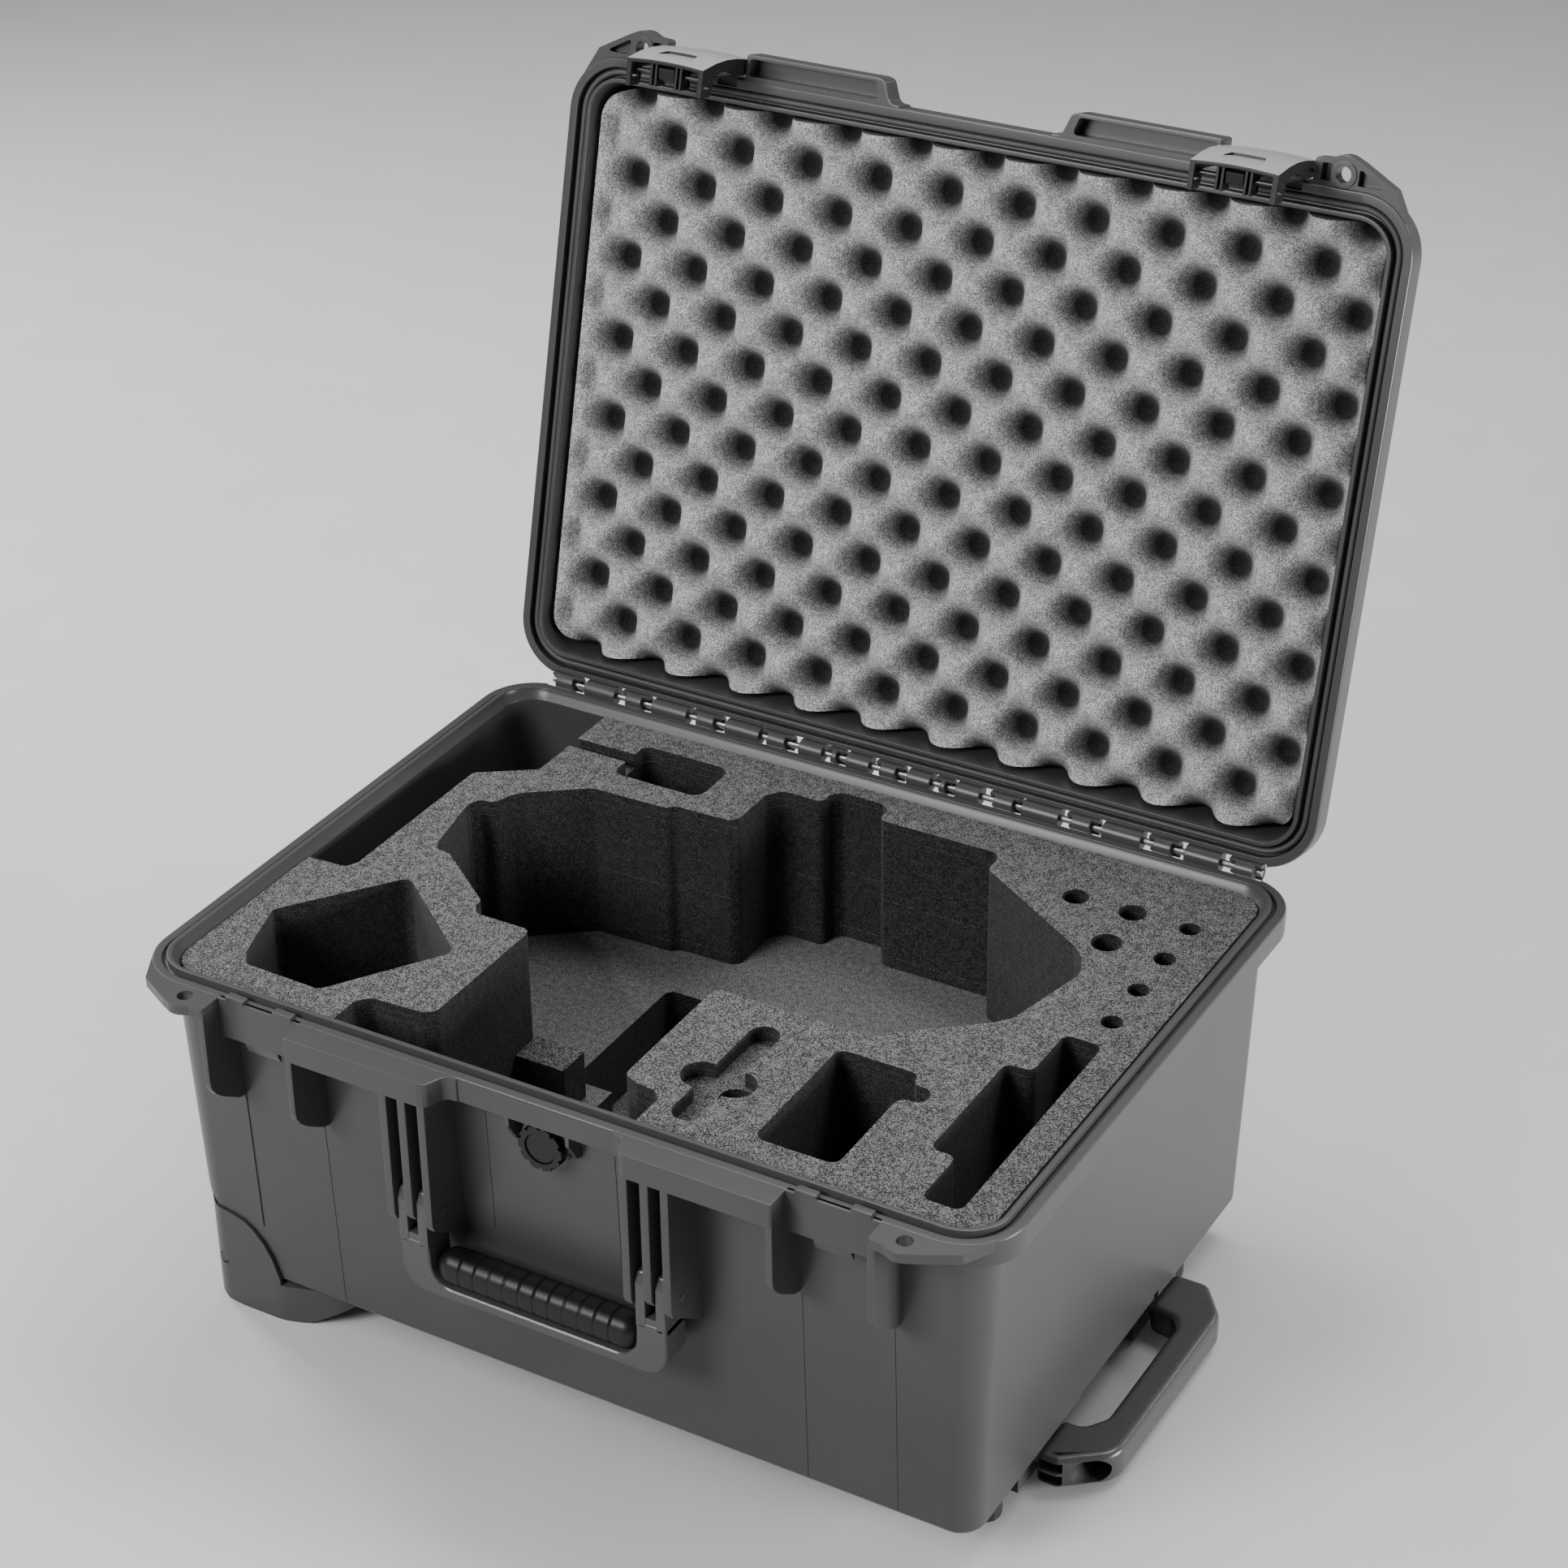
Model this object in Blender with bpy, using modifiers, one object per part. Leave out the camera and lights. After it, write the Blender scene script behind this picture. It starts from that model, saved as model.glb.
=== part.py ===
"""Wheeled hard case for a quadcopter drone, standing open, as an assembly of its separate parts.

Sizes are in millimetres and become metres when a mesh is made. +X runs to the right along the
front, +Y to the back and +Z up, with the origin on the flat underside of the trolley cover.
Base parts are drawn in the rim frame, where z = 0 is the plane in which lid and base meet. Lid
parts are drawn in that same frame as they lie with the lid shut, under an empty on the hinge.
"""
import math

import bmesh
import bpy
from mathutils import Matrix, Vector

MM = 0.001
GAP = 0.3                                   # clearance between touching parts

# Driving dimensions of the case
RIM_HEIGHT = 232.0                          # rim plane above the floor
DEPTH_OFFSET = 76.0                         # half width minus half depth, the same at every height
WALL_HALF_WIDTH = 256.8                     # outer wall at the rim plane
WALL_DRAFT = math.tan(math.radians(1.93))
CORNER_CENTRE = 234.8                       # x of the centre of every plan corner arc
CORNER_STEPS = 6
BODY_BOTTOM = -206.65
FLOOR_TOP = -203.2
HINGE_Y, HINGE_Z = 196.24, 1.34
OPEN_ANGLE = 104.3

# Base wall and rim in section: (half width, height), from the underside round to the inner floor
BASE_SECTION = [(243.5, BODY_BOTTOM), (246.5, -205.8), (249.8, -203.0), (256.7, -4.0),
                (266.3, -4.0), (266.5, -15.0), (268.9, -15.0), (269.0, -1.2), (268.3, 0.0),
                (263.4, 0.0), (263.0, -2.2), (260.8, -2.2), (260.4, 2.35), (257.6, 2.35),
                (256.7, -0.7), (253.5, -4.0), (247.0, -200.0), (243.5, FLOOR_TOP)]
# Lid wall and rim in section, from the top round to the inner ceiling
LID_TOP, LID_CEILING, LID_RIM = 54.0, 50.8, 0.5
LID_SECTION = [(240.0, LID_TOP), (247.5, 53.2), (252.0, 50.5), (254.6, 46.0), (256.4, 10.8),
               (266.3, 10.8), (266.6, 15.5), (268.9, 15.5), (269.0, 1.7), (268.3, LID_RIM),
               (263.3, LID_RIM), (263.3, 7.4), (257.0, 7.4), (256.6, LID_RIM), (254.2, LID_RIM),
               (253.5, 3.0), (252.2, 44.0), (250.0, 48.5), (245.0, LID_CEILING)]

# Front flange plan, for x > 0: handle block, padlock ear, recess for the latch between them
BLOCK_PLAN = [(49.0, -189.2), (49.0, -193.6), (52.0, -194.5), (59.0, -205.0), (62.0, -208.0),
              (150.8, -208.0), (150.8, -189.2)]
BLOCK_POCKET = [(61.0, -195.5), (64.5, -205.6), (148.6, -205.6), (148.6, -195.5)]
EAR_PLAN = [(205.3, -189.2), (205.3, -207.5), (214.0, -208.0), (218.0, -210.2), (222.4, -211.0),
            (227.0, -210.2), (232.0, -207.5), (252.6, -196.5), (262.5, -178.5), (259.5, -176.5),
            (248.5, -185.8), (236.0, -189.2)]
PADLOCK_HOLE = (222.4, -200.2, 4.5)
RECESS_FRONT = -193.6
RECESS_X = (150.5, 205.5)
LATCH_X = 178.0
TOOTH_X = ((156.0, 168.5), (188.0, 200.0))
SHORT_RIB_X = ((147.0, 151.0), (205.0, 209.0))
OUTER_BRACKET_X = ((60.3, 65.3), (85.0, 90.0))
MIDDLE_BRACKET_X = ((72.7, 78.0),)

# Hinge: centre and width of each knuckle along X, for x >= 0
HINGE_HALF_LENGTH = 243.0
HINGE_FLANGE_Y = 190.1
KNUCKLE_RADIUS = 5.7
LID_KNUCKLES = ((20.7, 15.5), (53.5, 16.0), (101.5, 24.0), (154.0, 25.0), (205.0, 22.0))
BASE_KNUCKLES = ((0.0, 18.0), (37.0, 11.0), (77.5, 20.0), (128.0, 20.0), (180.0, 19.0), (231.0, 20.0))
HINGE_PIN_RADIUS = 2.0

# Latch, drawn on the shut lid
LATCH_PIVOT = (-199.8, 7.0)                 # y, z
LATCH_HALF_WIDTH = 25.6
CLAW_PIN = (-193.5, -39.5)

# Front carry handle
HANDLE_PIVOT = (-196.6, -89.5)              # y, z
HANDLE_RANGE_X = (66.0, 84.5)
HANDLE_PIN_RADIUS = 2.5

# Wheels and trolley, measured from the floor
WHEEL_X, WHEEL_Y, WHEEL_HEIGHT, WHEEL_RADIUS, WHEEL_WIDTH = -227.0, 155.0, 25.5, 23.5, 22.0
AXLE_RADIUS = 3.2
HOUSING_FACE = 176.6                        # outer face of a wheel housing, from the middle
HOUSING_SEAT = 173.2                        # depth to which the wall is cut back for it
HOUSING_CORNER_X = -235.3                   # left of this the housing wraps the body's corner
HOUSING_SCREW = (-237.0, -201.5, 3.4)       # x, z, radius
TROLLEY_HEIGHT = 14.0
TUBE_Y = (-76.0, 70.0)
TUBE_SIZE = 14.0
GRIP_HEIGHTS = (4.0, 24.0)

# Foam: heights of the layers in the base, and the height of the sheet's top
FOAM_LAYERS = {"foam_top_sheet": (-12.3, -3.0, 252.8), "foam_upper": (-57.8, -12.6, 251.3),
               "foam_middle": (-96.8, -58.1, 250.0), "foam_lower": (-104.9, -97.1, 249.4),
               "foam_floor": (-122.8, -105.0, 249.1),
               "foam_base": (-199.6, -123.1, 246.4)}
POCKET_FLOOR = -105.0


def clear_scene():
    """Start from an empty scene."""
    for item in list(bpy.data.objects):
        bpy.data.objects.remove(item)


clear_scene()
CASE = bpy.data.collections.new("drone_carrying_case")
CUTTERS = bpy.data.collections.new("cutters")
for collection in (CASE, CUTTERS):
    bpy.context.scene.collection.children.link(collection)


# ---------------------------------------------------------------- materials
def material(name, colour, roughness, metallic=0.0):
    """A Principled material."""
    made = bpy.data.materials.new(name)
    made.use_nodes = True
    shader = made.node_tree.nodes["Principled BSDF"]
    shader.inputs["Base Color"].default_value = (*colour, 1.0)
    shader.inputs["Roughness"].default_value = roughness
    shader.inputs["Metallic"].default_value = metallic
    made.diffuse_color = (*colour, 1.0)
    return made


SHELL = material("shell_plastic", (0.085, 0.085, 0.087), 0.45)
FITTING = material("fitting_plastic", (0.075, 0.075, 0.077), 0.4)
LATCHING = material("latch_plastic", (0.14, 0.14, 0.143), 0.35)
RUBBER = material("rubber", (0.05, 0.05, 0.05), 0.8)
FOAM = material("foam", (0.06, 0.06, 0.061), 0.95)
STEEL = material("steel", (0.65, 0.65, 0.66), 0.3, 1.0)
ALUMINIUM = material("aluminium", (0.75, 0.76, 0.77), 0.35, 1.0)


# ---------------------------------------------------------------- frames
def frame(name, location=(0, 0, 0), angle_x=0.0, parent=None):
    """An empty that carries a group of parts."""
    empty = bpy.data.objects.new(name, None)
    empty.location = [value * MM for value in location]
    empty.rotation_euler = (math.radians(angle_x), 0, 0)
    empty.parent = parent
    CASE.objects.link(empty)
    return empty


RIM_FRAME = frame("rim_frame", (0, 0, RIM_HEIGHT))
HINGE_FRAME = frame("hinge_axis", (0, HINGE_Y, HINGE_Z), -OPEN_ANGLE, RIM_FRAME)
LID_FRAME = frame("shut_lid_frame", (0, -HINGE_Y, -HINGE_Z), 0, HINGE_FRAME)
HANDLE_FRAME = frame("handle_axis", (0, *HANDLE_PIVOT), 0, RIM_FRAME)


# ---------------------------------------------------------------- shape helpers
def wall_depth(height):
    """Half depth of the base's outer wall at a height."""
    return WALL_HALF_WIDTH - DEPTH_OFFSET + WALL_DRAFT * height


def mirrored(outline):
    """The outline on the other side of x = 0."""
    return [(-x, y) for x, y in reversed(outline)]


def box_outline(low, high):
    """A rectangle through two corners."""
    return [(low[0], low[1]), (high[0], low[1]), (high[0], high[1]), (low[0], high[1])]


def circle_outline(centre, radius, steps, start=0.0):
    """A regular polygon that stands for a circle."""
    angles = [math.radians(start) + 2 * math.pi * i / steps for i in range(steps)]
    return [(centre[0] + radius * math.cos(a), centre[1] + radius * math.sin(a)) for a in angles]


def arc(centre, radius, first, last, steps):
    """Points along an arc, angles in degrees."""
    angles = [math.radians(first + (last - first) * i / steps) for i in range(steps + 1)]
    return [(centre[0] + radius * math.cos(a), centre[1] + radius * math.sin(a)) for a in angles]


def rounded(corners, steps=3):
    """An outline from (x, y, radius) corners, each rounded by an arc."""
    points = []
    for index, (x, y, radius) in enumerate(corners):
        here = Vector((x, y))
        before = (Vector(corners[index - 1][:2]) - here).normalized()
        after = (Vector(corners[(index + 1) % len(corners)][:2]) - here).normalized()
        if radius == 0:
            points.append((x, y))
            continue
        half_angle = before.angle(after) / 2
        reach = radius / math.tan(half_angle)
        centre = here + (before + after).normalized() * radius / math.sin(half_angle)
        first = here + before * reach - centre
        last = here + after * reach - centre
        turn = first.angle_signed(last)
        for step in range(steps + 1):
            points.append(tuple(centre + Matrix.Rotation(-turn * step / steps, 2) @ first))
    return points


def rounded_rectangle(half_x, half_y, radius, steps=CORNER_STEPS):
    """A centred rectangle with round corners."""
    points = []
    for index, (sx, sy) in enumerate(((1, 1), (-1, 1), (-1, -1), (1, -1))):
        centre = (sx * (half_x - radius), sy * (half_y - radius))
        points += arc(centre, radius, 90 * index, 90 * index + 90, steps)
    return points


def finish_mesh(bm, name):
    """Weld, face outward and store a bmesh."""
    bmesh.ops.remove_doubles(bm, verts=bm.verts, dist=0.00001)
    bmesh.ops.recalc_face_normals(bm, faces=bm.faces)
    mesh = bpy.data.meshes.new(name)
    bm.to_mesh(mesh)
    bm.free()
    return mesh


AXIS_TURN = {"Z": Matrix.Identity(3), "X": Matrix(((0, 0, 1), (1, 0, 0), (0, 1, 0))),
             "Y": Matrix(((1, 0, 0), (0, 0, 1), (0, 1, 0)))}


def prism(outlines, low, high, along="Z", name="prism"):
    """Closed outlines, the later ones holes, extruded from low to high along an axis.

    The outline's two numbers are (x, y), (y, z) or (x, z) for an extrusion along Z, X or Y.
    """
    curve = bpy.data.curves.new(name, "CURVE")
    curve.dimensions = "2D"
    curve.fill_mode = "BOTH"
    curve.extrude = (high - low) / 2 * MM
    for outline in outlines:
        spline = curve.splines.new("POLY")
        spline.points.add(len(outline) - 1)
        for point, (u, v) in zip(spline.points, outline):
            point.co = (u * MM, v * MM, 0, 1)
        spline.use_cyclic_u = True
    holder = bpy.data.objects.new(name, curve)
    CASE.objects.link(holder)
    depsgraph = bpy.context.evaluated_depsgraph_get()
    mesh = bpy.data.meshes.new_from_object(holder.evaluated_get(depsgraph))
    bpy.data.objects.remove(holder)
    bm = bmesh.new()
    bm.from_mesh(mesh)
    middle = Vector((0, 0, (low + high) / 2 * MM))
    for vert in bm.verts:
        vert.co = AXIS_TURN[along] @ (vert.co + middle)
    return finish_mesh(bm, name)


def boxes(x_range, y_range, z_range, name="box"):
    """A box between limits on each axis."""
    bm = bmesh.new()
    bmesh.ops.create_cube(bm, size=1.0)
    for vert in bm.verts:
        for axis, (low, high) in enumerate((x_range, y_range, z_range)):
            vert.co[axis] = (low if vert.co[axis] < 0 else high) * MM
    return finish_mesh(bm, name)


def rod(centre, radius, low, high, along="X", steps=12, name="rod"):
    """A cylinder along an axis, centred on the two other coordinates."""
    bm = bmesh.new()
    bmesh.ops.create_cone(bm, cap_ends=True, segments=steps, radius1=radius * MM,
                          radius2=radius * MM, depth=(high - low) * MM)
    middle = Vector((centre[0] * MM, centre[1] * MM, (low + high) / 2 * MM))
    for vert in bm.verts:
        vert.co = AXIS_TURN[along] @ (vert.co + middle)
    return finish_mesh(bm, name)


def loft(sections, name):
    """A closed body through rings of equal point count, with flat end caps."""
    bm = bmesh.new()
    rings = [[bm.verts.new((x * MM, y * MM, z * MM)) for x, y in outline] for outline, z in sections]
    count = len(rings[0])
    for lower, upper in zip(rings, rings[1:]):
        for index in range(count):
            following = (index + 1) % count
            bm.faces.new((lower[index], lower[following], upper[following], upper[index]))
    bm.faces.new(reversed(rings[0]))
    bm.faces.new(rings[-1])
    return finish_mesh(bm, name)


def case_shell(section, name):
    """The wall section carried round the case's plan."""
    return loft([(rounded_rectangle(half, half - DEPTH_OFFSET, half - CORNER_CENTRE), z)
                 for half, z in section], name)


# ---------------------------------------------------------------- object helpers
def part(name, mesh, surface, parent=None, location=(0, 0, 0), smooth=0.0):
    """A named sub-part; the mesh is drawn relative to its own origin."""
    made = bpy.data.objects.new(name, mesh)
    made.parent = parent
    made.location = [value * MM for value in location]
    mesh.materials.append(surface)
    CASE.objects.link(made)
    if smooth:
        mesh.shade_smooth()
        mesh.set_sharp_from_angle(angle=math.radians(smooth))
    return made


PLANNED_BOOLEANS = []                       # (target, operation, collection of tools), in order


def boolean(target, operation, tools):
    """Plan to join or cut tool meshes, drawn in the target's own frame."""
    group = bpy.data.collections.new(f"{target.name}_{operation.lower()}_{len(PLANNED_BOOLEANS)}")
    CUTTERS.children.link(group)
    for number, mesh in enumerate(tools):
        tool = bpy.data.objects.new(f"{group.name}_{number}", mesh)
        tool.parent = target.parent
        tool.location = target.location
        tool.hide_render = True
        tool.display_type = "WIRE"
        group.objects.link(tool)
    PLANNED_BOOLEANS.append((target, operation, group))


def add_booleans():
    """Give every target its Boolean modifiers, once all shapes are drawn."""
    for target, operation, group in PLANNED_BOOLEANS:
        modifier = target.modifiers.new(group.name, "BOOLEAN")
        modifier.operation = operation
        modifier.operand_type = "COLLECTION"
        modifier.collection = group
        modifier.solver = "EXACT"


def moved(mesh, offset):
    """The mesh shifted by an offset in millimetres."""
    mesh.transform(Matrix.Translation(Vector(offset) * MM))
    return mesh


# Wheel housing in side view, (x, z) in the rim frame: its edge on the wall, then its underside
HOUSING_TOP = [(-247.0, -156.0), (-239.0, -164.5), (-229.0, -166.0), (-219.5, -168.5), (-213.0, -173.0),
               (-206.0, -181.0), (-201.0, -190.0), (-197.0, -203.0)]
HOUSING_BELOW = [(-166.0, -223.0), (-180.0, -231.0), (-186.0, -232.0), (-226.0, -232.0),
                 (-241.0, -228.5), (-247.0, -221.0)]


# ---------------------------------------------------------------- base and lid shells
def two_sides(outline, low, high):
    """The same plan outline, right and left."""
    return [prism([outline], low, high), prism([mirrored(outline)], low, high)]


def spans(x_range, y_range, z_range):
    """The same box, right and left."""
    low, high = x_range
    return [boxes((low, high), y_range, z_range), boxes((-high, -low), y_range, z_range)]


def ribs(profile, x_ranges):
    """Upright plates with a (y, z) profile, right and left."""
    made = []
    for low, high in x_ranges:
        made += [prism([profile], low, high, "X"), prism([profile], -high, -low, "X")]
    return made


def knuckles(places, flip):
    """Hinge knuckles with the web that joins each to its flange."""
    outline = [(188.8, -4.3)]
    outline += arc((HINGE_Y, HINGE_Z), KNUCKLE_RADIUS, -90, 165, 12)
    outline += [(190.3, -0.3), (188.8, -0.3)]
    if flip:
        outline = [(y, 2 * HINGE_Z - z) for y, z in reversed(outline)]
    made = []
    for centre, width in places:
        for x in sorted({centre, -centre}):
            made.append(prism([outline], x - width / 2, x + width / 2, "X"))
    return made


def across(side, first, second):
    """A range in y, given by distances from the middle, on the front (-1) or rear (1) side."""
    return (-second, -first) if side < 0 else (first, second)


def wheel_well_walls(side):
    """Solid round the wheel pocket and behind the housing's corner, before they are cut."""
    return [boxes((-250.5, -198.5), across(side, 138.5, 171.5), (-204.5, -177.5)),
            boxes((-250.5, -232.0), across(side, 157.0, 173.0), (-204.5, -152.5))]


def wheel_well_cuts(side):
    """Wheel pocket, axle saddle, and the seat in the wall for a wheel housing."""
    edge = [(x + 0.9, z + 0.9) for x, z in HOUSING_TOP]
    seat = [(-262.0, edge[0][1] + 2.0), *edge, (HOUSING_TOP[-1][0] + 0.9, -215.0), (-262.0, -215.0)]
    corner = [(x, z) for x, z in seat if x < HOUSING_CORNER_X]
    corner = [corner[0], *edge[:2], (HOUSING_CORNER_X, -165.4), (HOUSING_CORNER_X, -215.0), seat[-1]]
    return [boxes((-262.0, -201.5), across(side, 141.5, 168.5), (-215.0, -180.5)),
            rod((WHEEL_X, WHEEL_HEIGHT - RIM_HEIGHT), AXLE_RADIUS + 0.5, *across(side, 137.0, 180.0),
                "Y", 12),
            prism([seat], *across(side, HOUSING_SEAT, 185.0), "Y"),
            prism([corner], *across(side, 160.3, 185.0), "Y")]


def base_shell():
    """The tub: wall, rim with its tongue and groove, and all that is moulded on it."""
    shell = part("base_shell", case_shell(BASE_SECTION, "base_shell"), SHELL, RIM_FRAME)
    boolean(shell, "DIFFERENCE", [boxes((-HINGE_HALF_LENGTH, HINGE_HALF_LENGTH),
                                        (HINGE_FLANGE_Y, 220), (-20, 5))])
    wall_top, wall_low = -wall_depth(0) + 1.6, -wall_depth(-120) + 1.6
    short_rib = [(-207.4, -3), (-207.4, -48), (-206.5, -53.5), (-203, -58.5), (-198, -63),
                 (-190, -68.5), (-184, -72.5), (wall_low - 1.6, -74.0), (wall_top, -3)]
    bracket = [(-207.4, -3), (-207.4, -93), (-205.5, -97.5), (-201, -100.5), (wall_low, -119),
               (wall_top, -3)]
    middle = [(-207.4, -3), (-207.4, -90), (-204.5, -94.8), (-190, -97), (wall_low, -104), (wall_top, -3)]
    guard = [(-191.5, -3), (-191.5, -22), (-184, -34), (wall_top + 1, -36), (wall_top, -3)]
    solids = two_sides(BLOCK_PLAN, -15, 0) + two_sides(EAR_PLAN, -6, 0)
    solids += spans(RECESS_X, (RECESS_FRONT, -189.8), (-25, 0))
    solids += spans((LATCH_X - 11, LATCH_X + 11), (RECESS_FRONT, -191.0), (-31, -24))
    for low, high in TOOTH_X:
        solids += spans((low, high), (RECESS_FRONT, -188.2), (-1, 2.5))
    solids += ribs(short_rib, SHORT_RIB_X) + ribs(bracket, OUTER_BRACKET_X)
    solids += ribs(middle, MIDDLE_BRACKET_X) + ribs(guard, ((17.5, 20.0),))
    solids += [boxes((-HINGE_HALF_LENGTH, HINGE_HALF_LENGTH), (187.4, 190.0), (-15, -1))]
    solids += knuckles(BASE_KNUCKLES, False)
    for side in (-1, 1):
        solids += wheel_well_walls(side)
    solids += [boxes((238, 249), (-50, 60), (-204.5, -192))]
    boolean(shell, "UNION", solids)
    x, y, radius = PADLOCK_HOLE
    cuts = [rod((sign * x, y), radius, -10, 5, "Z", 16) for sign in (-1, 1)]
    cuts += two_sides(BLOCK_POCKET, -20, -3.5)
    cuts += [rod((HINGE_Y, HINGE_Z), HINGE_PIN_RADIUS + 0.4, -260, 260, "X", 12)]
    cuts += [rod((y, z), HANDLE_PIN_RADIUS + 0.4, low, high, "X", 12)
             for y, z in (HANDLE_PIVOT,) for low, high in ((55, 95), (-95, -55))]
    cuts += [rod((0, -31), 7.4, -185, -170, "Y", 16)]
    for side in (-1, 1):
        cuts += wheel_well_cuts(side)
    cuts += [boxes((241, 262), (-45.5, 55.7), (-215, -197.6))]
    boolean(shell, "DIFFERENCE", cuts)


def lid_shell():
    """The lid, drawn shut: a shallow tub turned over, with hollow blocks and ears at the front."""
    shell = part("lid_shell", case_shell(LID_SECTION, "lid_shell"), SHELL, LID_FRAME)
    boolean(shell, "DIFFERENCE", [boxes((-HINGE_HALF_LENGTH, HINGE_HALF_LENGTH),
                                        (HINGE_FLANGE_Y, 220), (-5, 20))])
    solids = two_sides(BLOCK_PLAN, LID_RIM, 15.5) + two_sides(EAR_PLAN, LID_RIM, 10.5)
    solids += spans(RECESS_X, (RECESS_FRONT, -189.8), (3.4, 15.5))
    solids += [boxes((-HINGE_HALF_LENGTH, HINGE_HALF_LENGTH), (187.4, 190.0), (LID_RIM + 1, 15.5))]
    solids += knuckles(LID_KNUCKLES, True)
    boolean(shell, "UNION", solids)
    x, y, radius = PADLOCK_HOLE
    cuts = [rod((sign * x, y), radius, -5, 20, "Z", 16) for sign in (-1, 1)]
    cuts += two_sides(BLOCK_POCKET, -5, 11.5)
    cuts += two_sides([(209.5, -205.0), (215.5, -205.0), (215.5, -195.5), (209.5, -195.5)], -5, 7)
    cuts += two_sides([(231.0, -204.6), (248.0, -195.4), (231.0, -195.4)], -5, 7)
    for low, high in TOOTH_X:
        cuts += spans((low - 1, high + 1), (-200, -187.7), (-5, 3.4))
    cuts += [rod((HINGE_Y, HINGE_Z), HINGE_PIN_RADIUS + 0.4, -260, 260, "X", 12)]
    cuts += [rod(LATCH_PIVOT, 2.3, low, high, "X", 12) for low, high in ((146, 209.5), (-209.5, -146))]
    boolean(shell, "DIFFERENCE", cuts)


def rim_and_hinge():
    """The O-ring in the lid's channel and the steel hinge pin."""
    path = rounded_rectangle(260.15, 260.15 - DEPTH_OFFSET, 260.15 - CORNER_CENTRE)
    curve = bpy.data.curves.new("lid_gasket", "CURVE")
    curve.dimensions = "3D"
    curve.bevel_depth = 2.0 * MM
    curve.bevel_resolution = 1
    spline = curve.splines.new("POLY")
    spline.points.add(len(path) - 1)
    for point, (x, y) in zip(spline.points, path):
        point.co = (x * MM, y * MM, 5.0 * MM, 1)
    spline.use_cyclic_u = True
    curve.materials.append(RUBBER)
    gasket = bpy.data.objects.new("lid_gasket", curve)
    gasket.parent = LID_FRAME
    CASE.objects.link(gasket)
    pin = rod((0, 0), HINGE_PIN_RADIUS, -241, 241, "X", 12, "hinge_pin")
    part("hinge_pin", pin, STEEL, RIM_FRAME, (0, HINGE_Y, HINGE_Z), 40)


# ---------------------------------------------------------------- latches
def latch(side, label):
    """One latch: cover, claw, pivot pin and claw pin, on the latch's own pivot."""
    centre = side * LATCH_X
    y0, z0 = LATCH_PIVOT
    pivot = frame(f"latch_axis_{label}", (centre, y0, z0), 0, LID_FRAME)

    def local(points):
        return [(y - y0, z - z0) for y, z in points]

    face = [(-204.6, 8.0), (-205.3, -8.0), (-205.0, -20.0), (-203.4, -32.0), (-200.0, -46.0)]
    back = [(-197.2, -46.0), (-200.5, -32.0), (-202.1, -20.0), (-202.3, -8.0), (-201.8, 6.0)]
    barrel = arc(LATCH_PIVOT, 4.6, 0, 180, 8)
    cheek = [(-195.2, 0.0), *barrel, *face[1:], (-184.0, -46.0), (-184.6, -35.0), (-194.8, -33.0)]
    half = LATCH_HALF_WIDTH
    body = part(f"latch_body_{label}", prism([local(face + back)], -half, half, "X"), LATCHING, pivot)
    solids = [prism([local(cheek)], low, low + 3.0, "X") for low in (-half, half - 3.0)]
    solids += [boxes((low, low + 4.6), (-202.5 - y0, -186.0 - y0), (-44.2 - z0, -33.5 - z0))
               for low in (-10.4, 5.8)]
    solids += [rod((0, 0), 4.6, low, low + 8, "X", 14) for low in (-half + 0.2, half - 8.2)]
    boolean(body, "UNION", solids)
    claw_pin = (CLAW_PIN[0] - y0, CLAW_PIN[1] - z0)
    boolean(body, "DIFFERENCE", [rod((0, 0), 2.3, -40, 40, "X", 12),
                                 rod(claw_pin, 1.8, -40, 40, "X", 10)])
    claw = [(-199.6, -16.0), (-197.0, -16.0), (-196.6, -32.0), (-188.0, -33.0), (-188.0, -36.5),
            (-190.5, -43.0), (-197.0, -44.0), (-199.3, -34.0)]
    hook = part(f"latch_claw_{label}", prism([local(claw)], -5.4, 5.4, "X"), FITTING, pivot)
    boolean(hook, "DIFFERENCE", [rod(claw_pin, 1.8, -40, 40, "X", 10)])
    part(f"latch_pivot_pin_{label}", rod((0, 0), 1.9, -29.2, 29.2, "X", 12), STEEL, pivot, (0, 0, 0), 40)
    part(f"latch_claw_pin_{label}", rod(claw_pin, 1.5, -half - 0.4, half + 0.4, "X", 10), STEEL,
         pivot, (0, 0, 0), 40)


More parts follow.
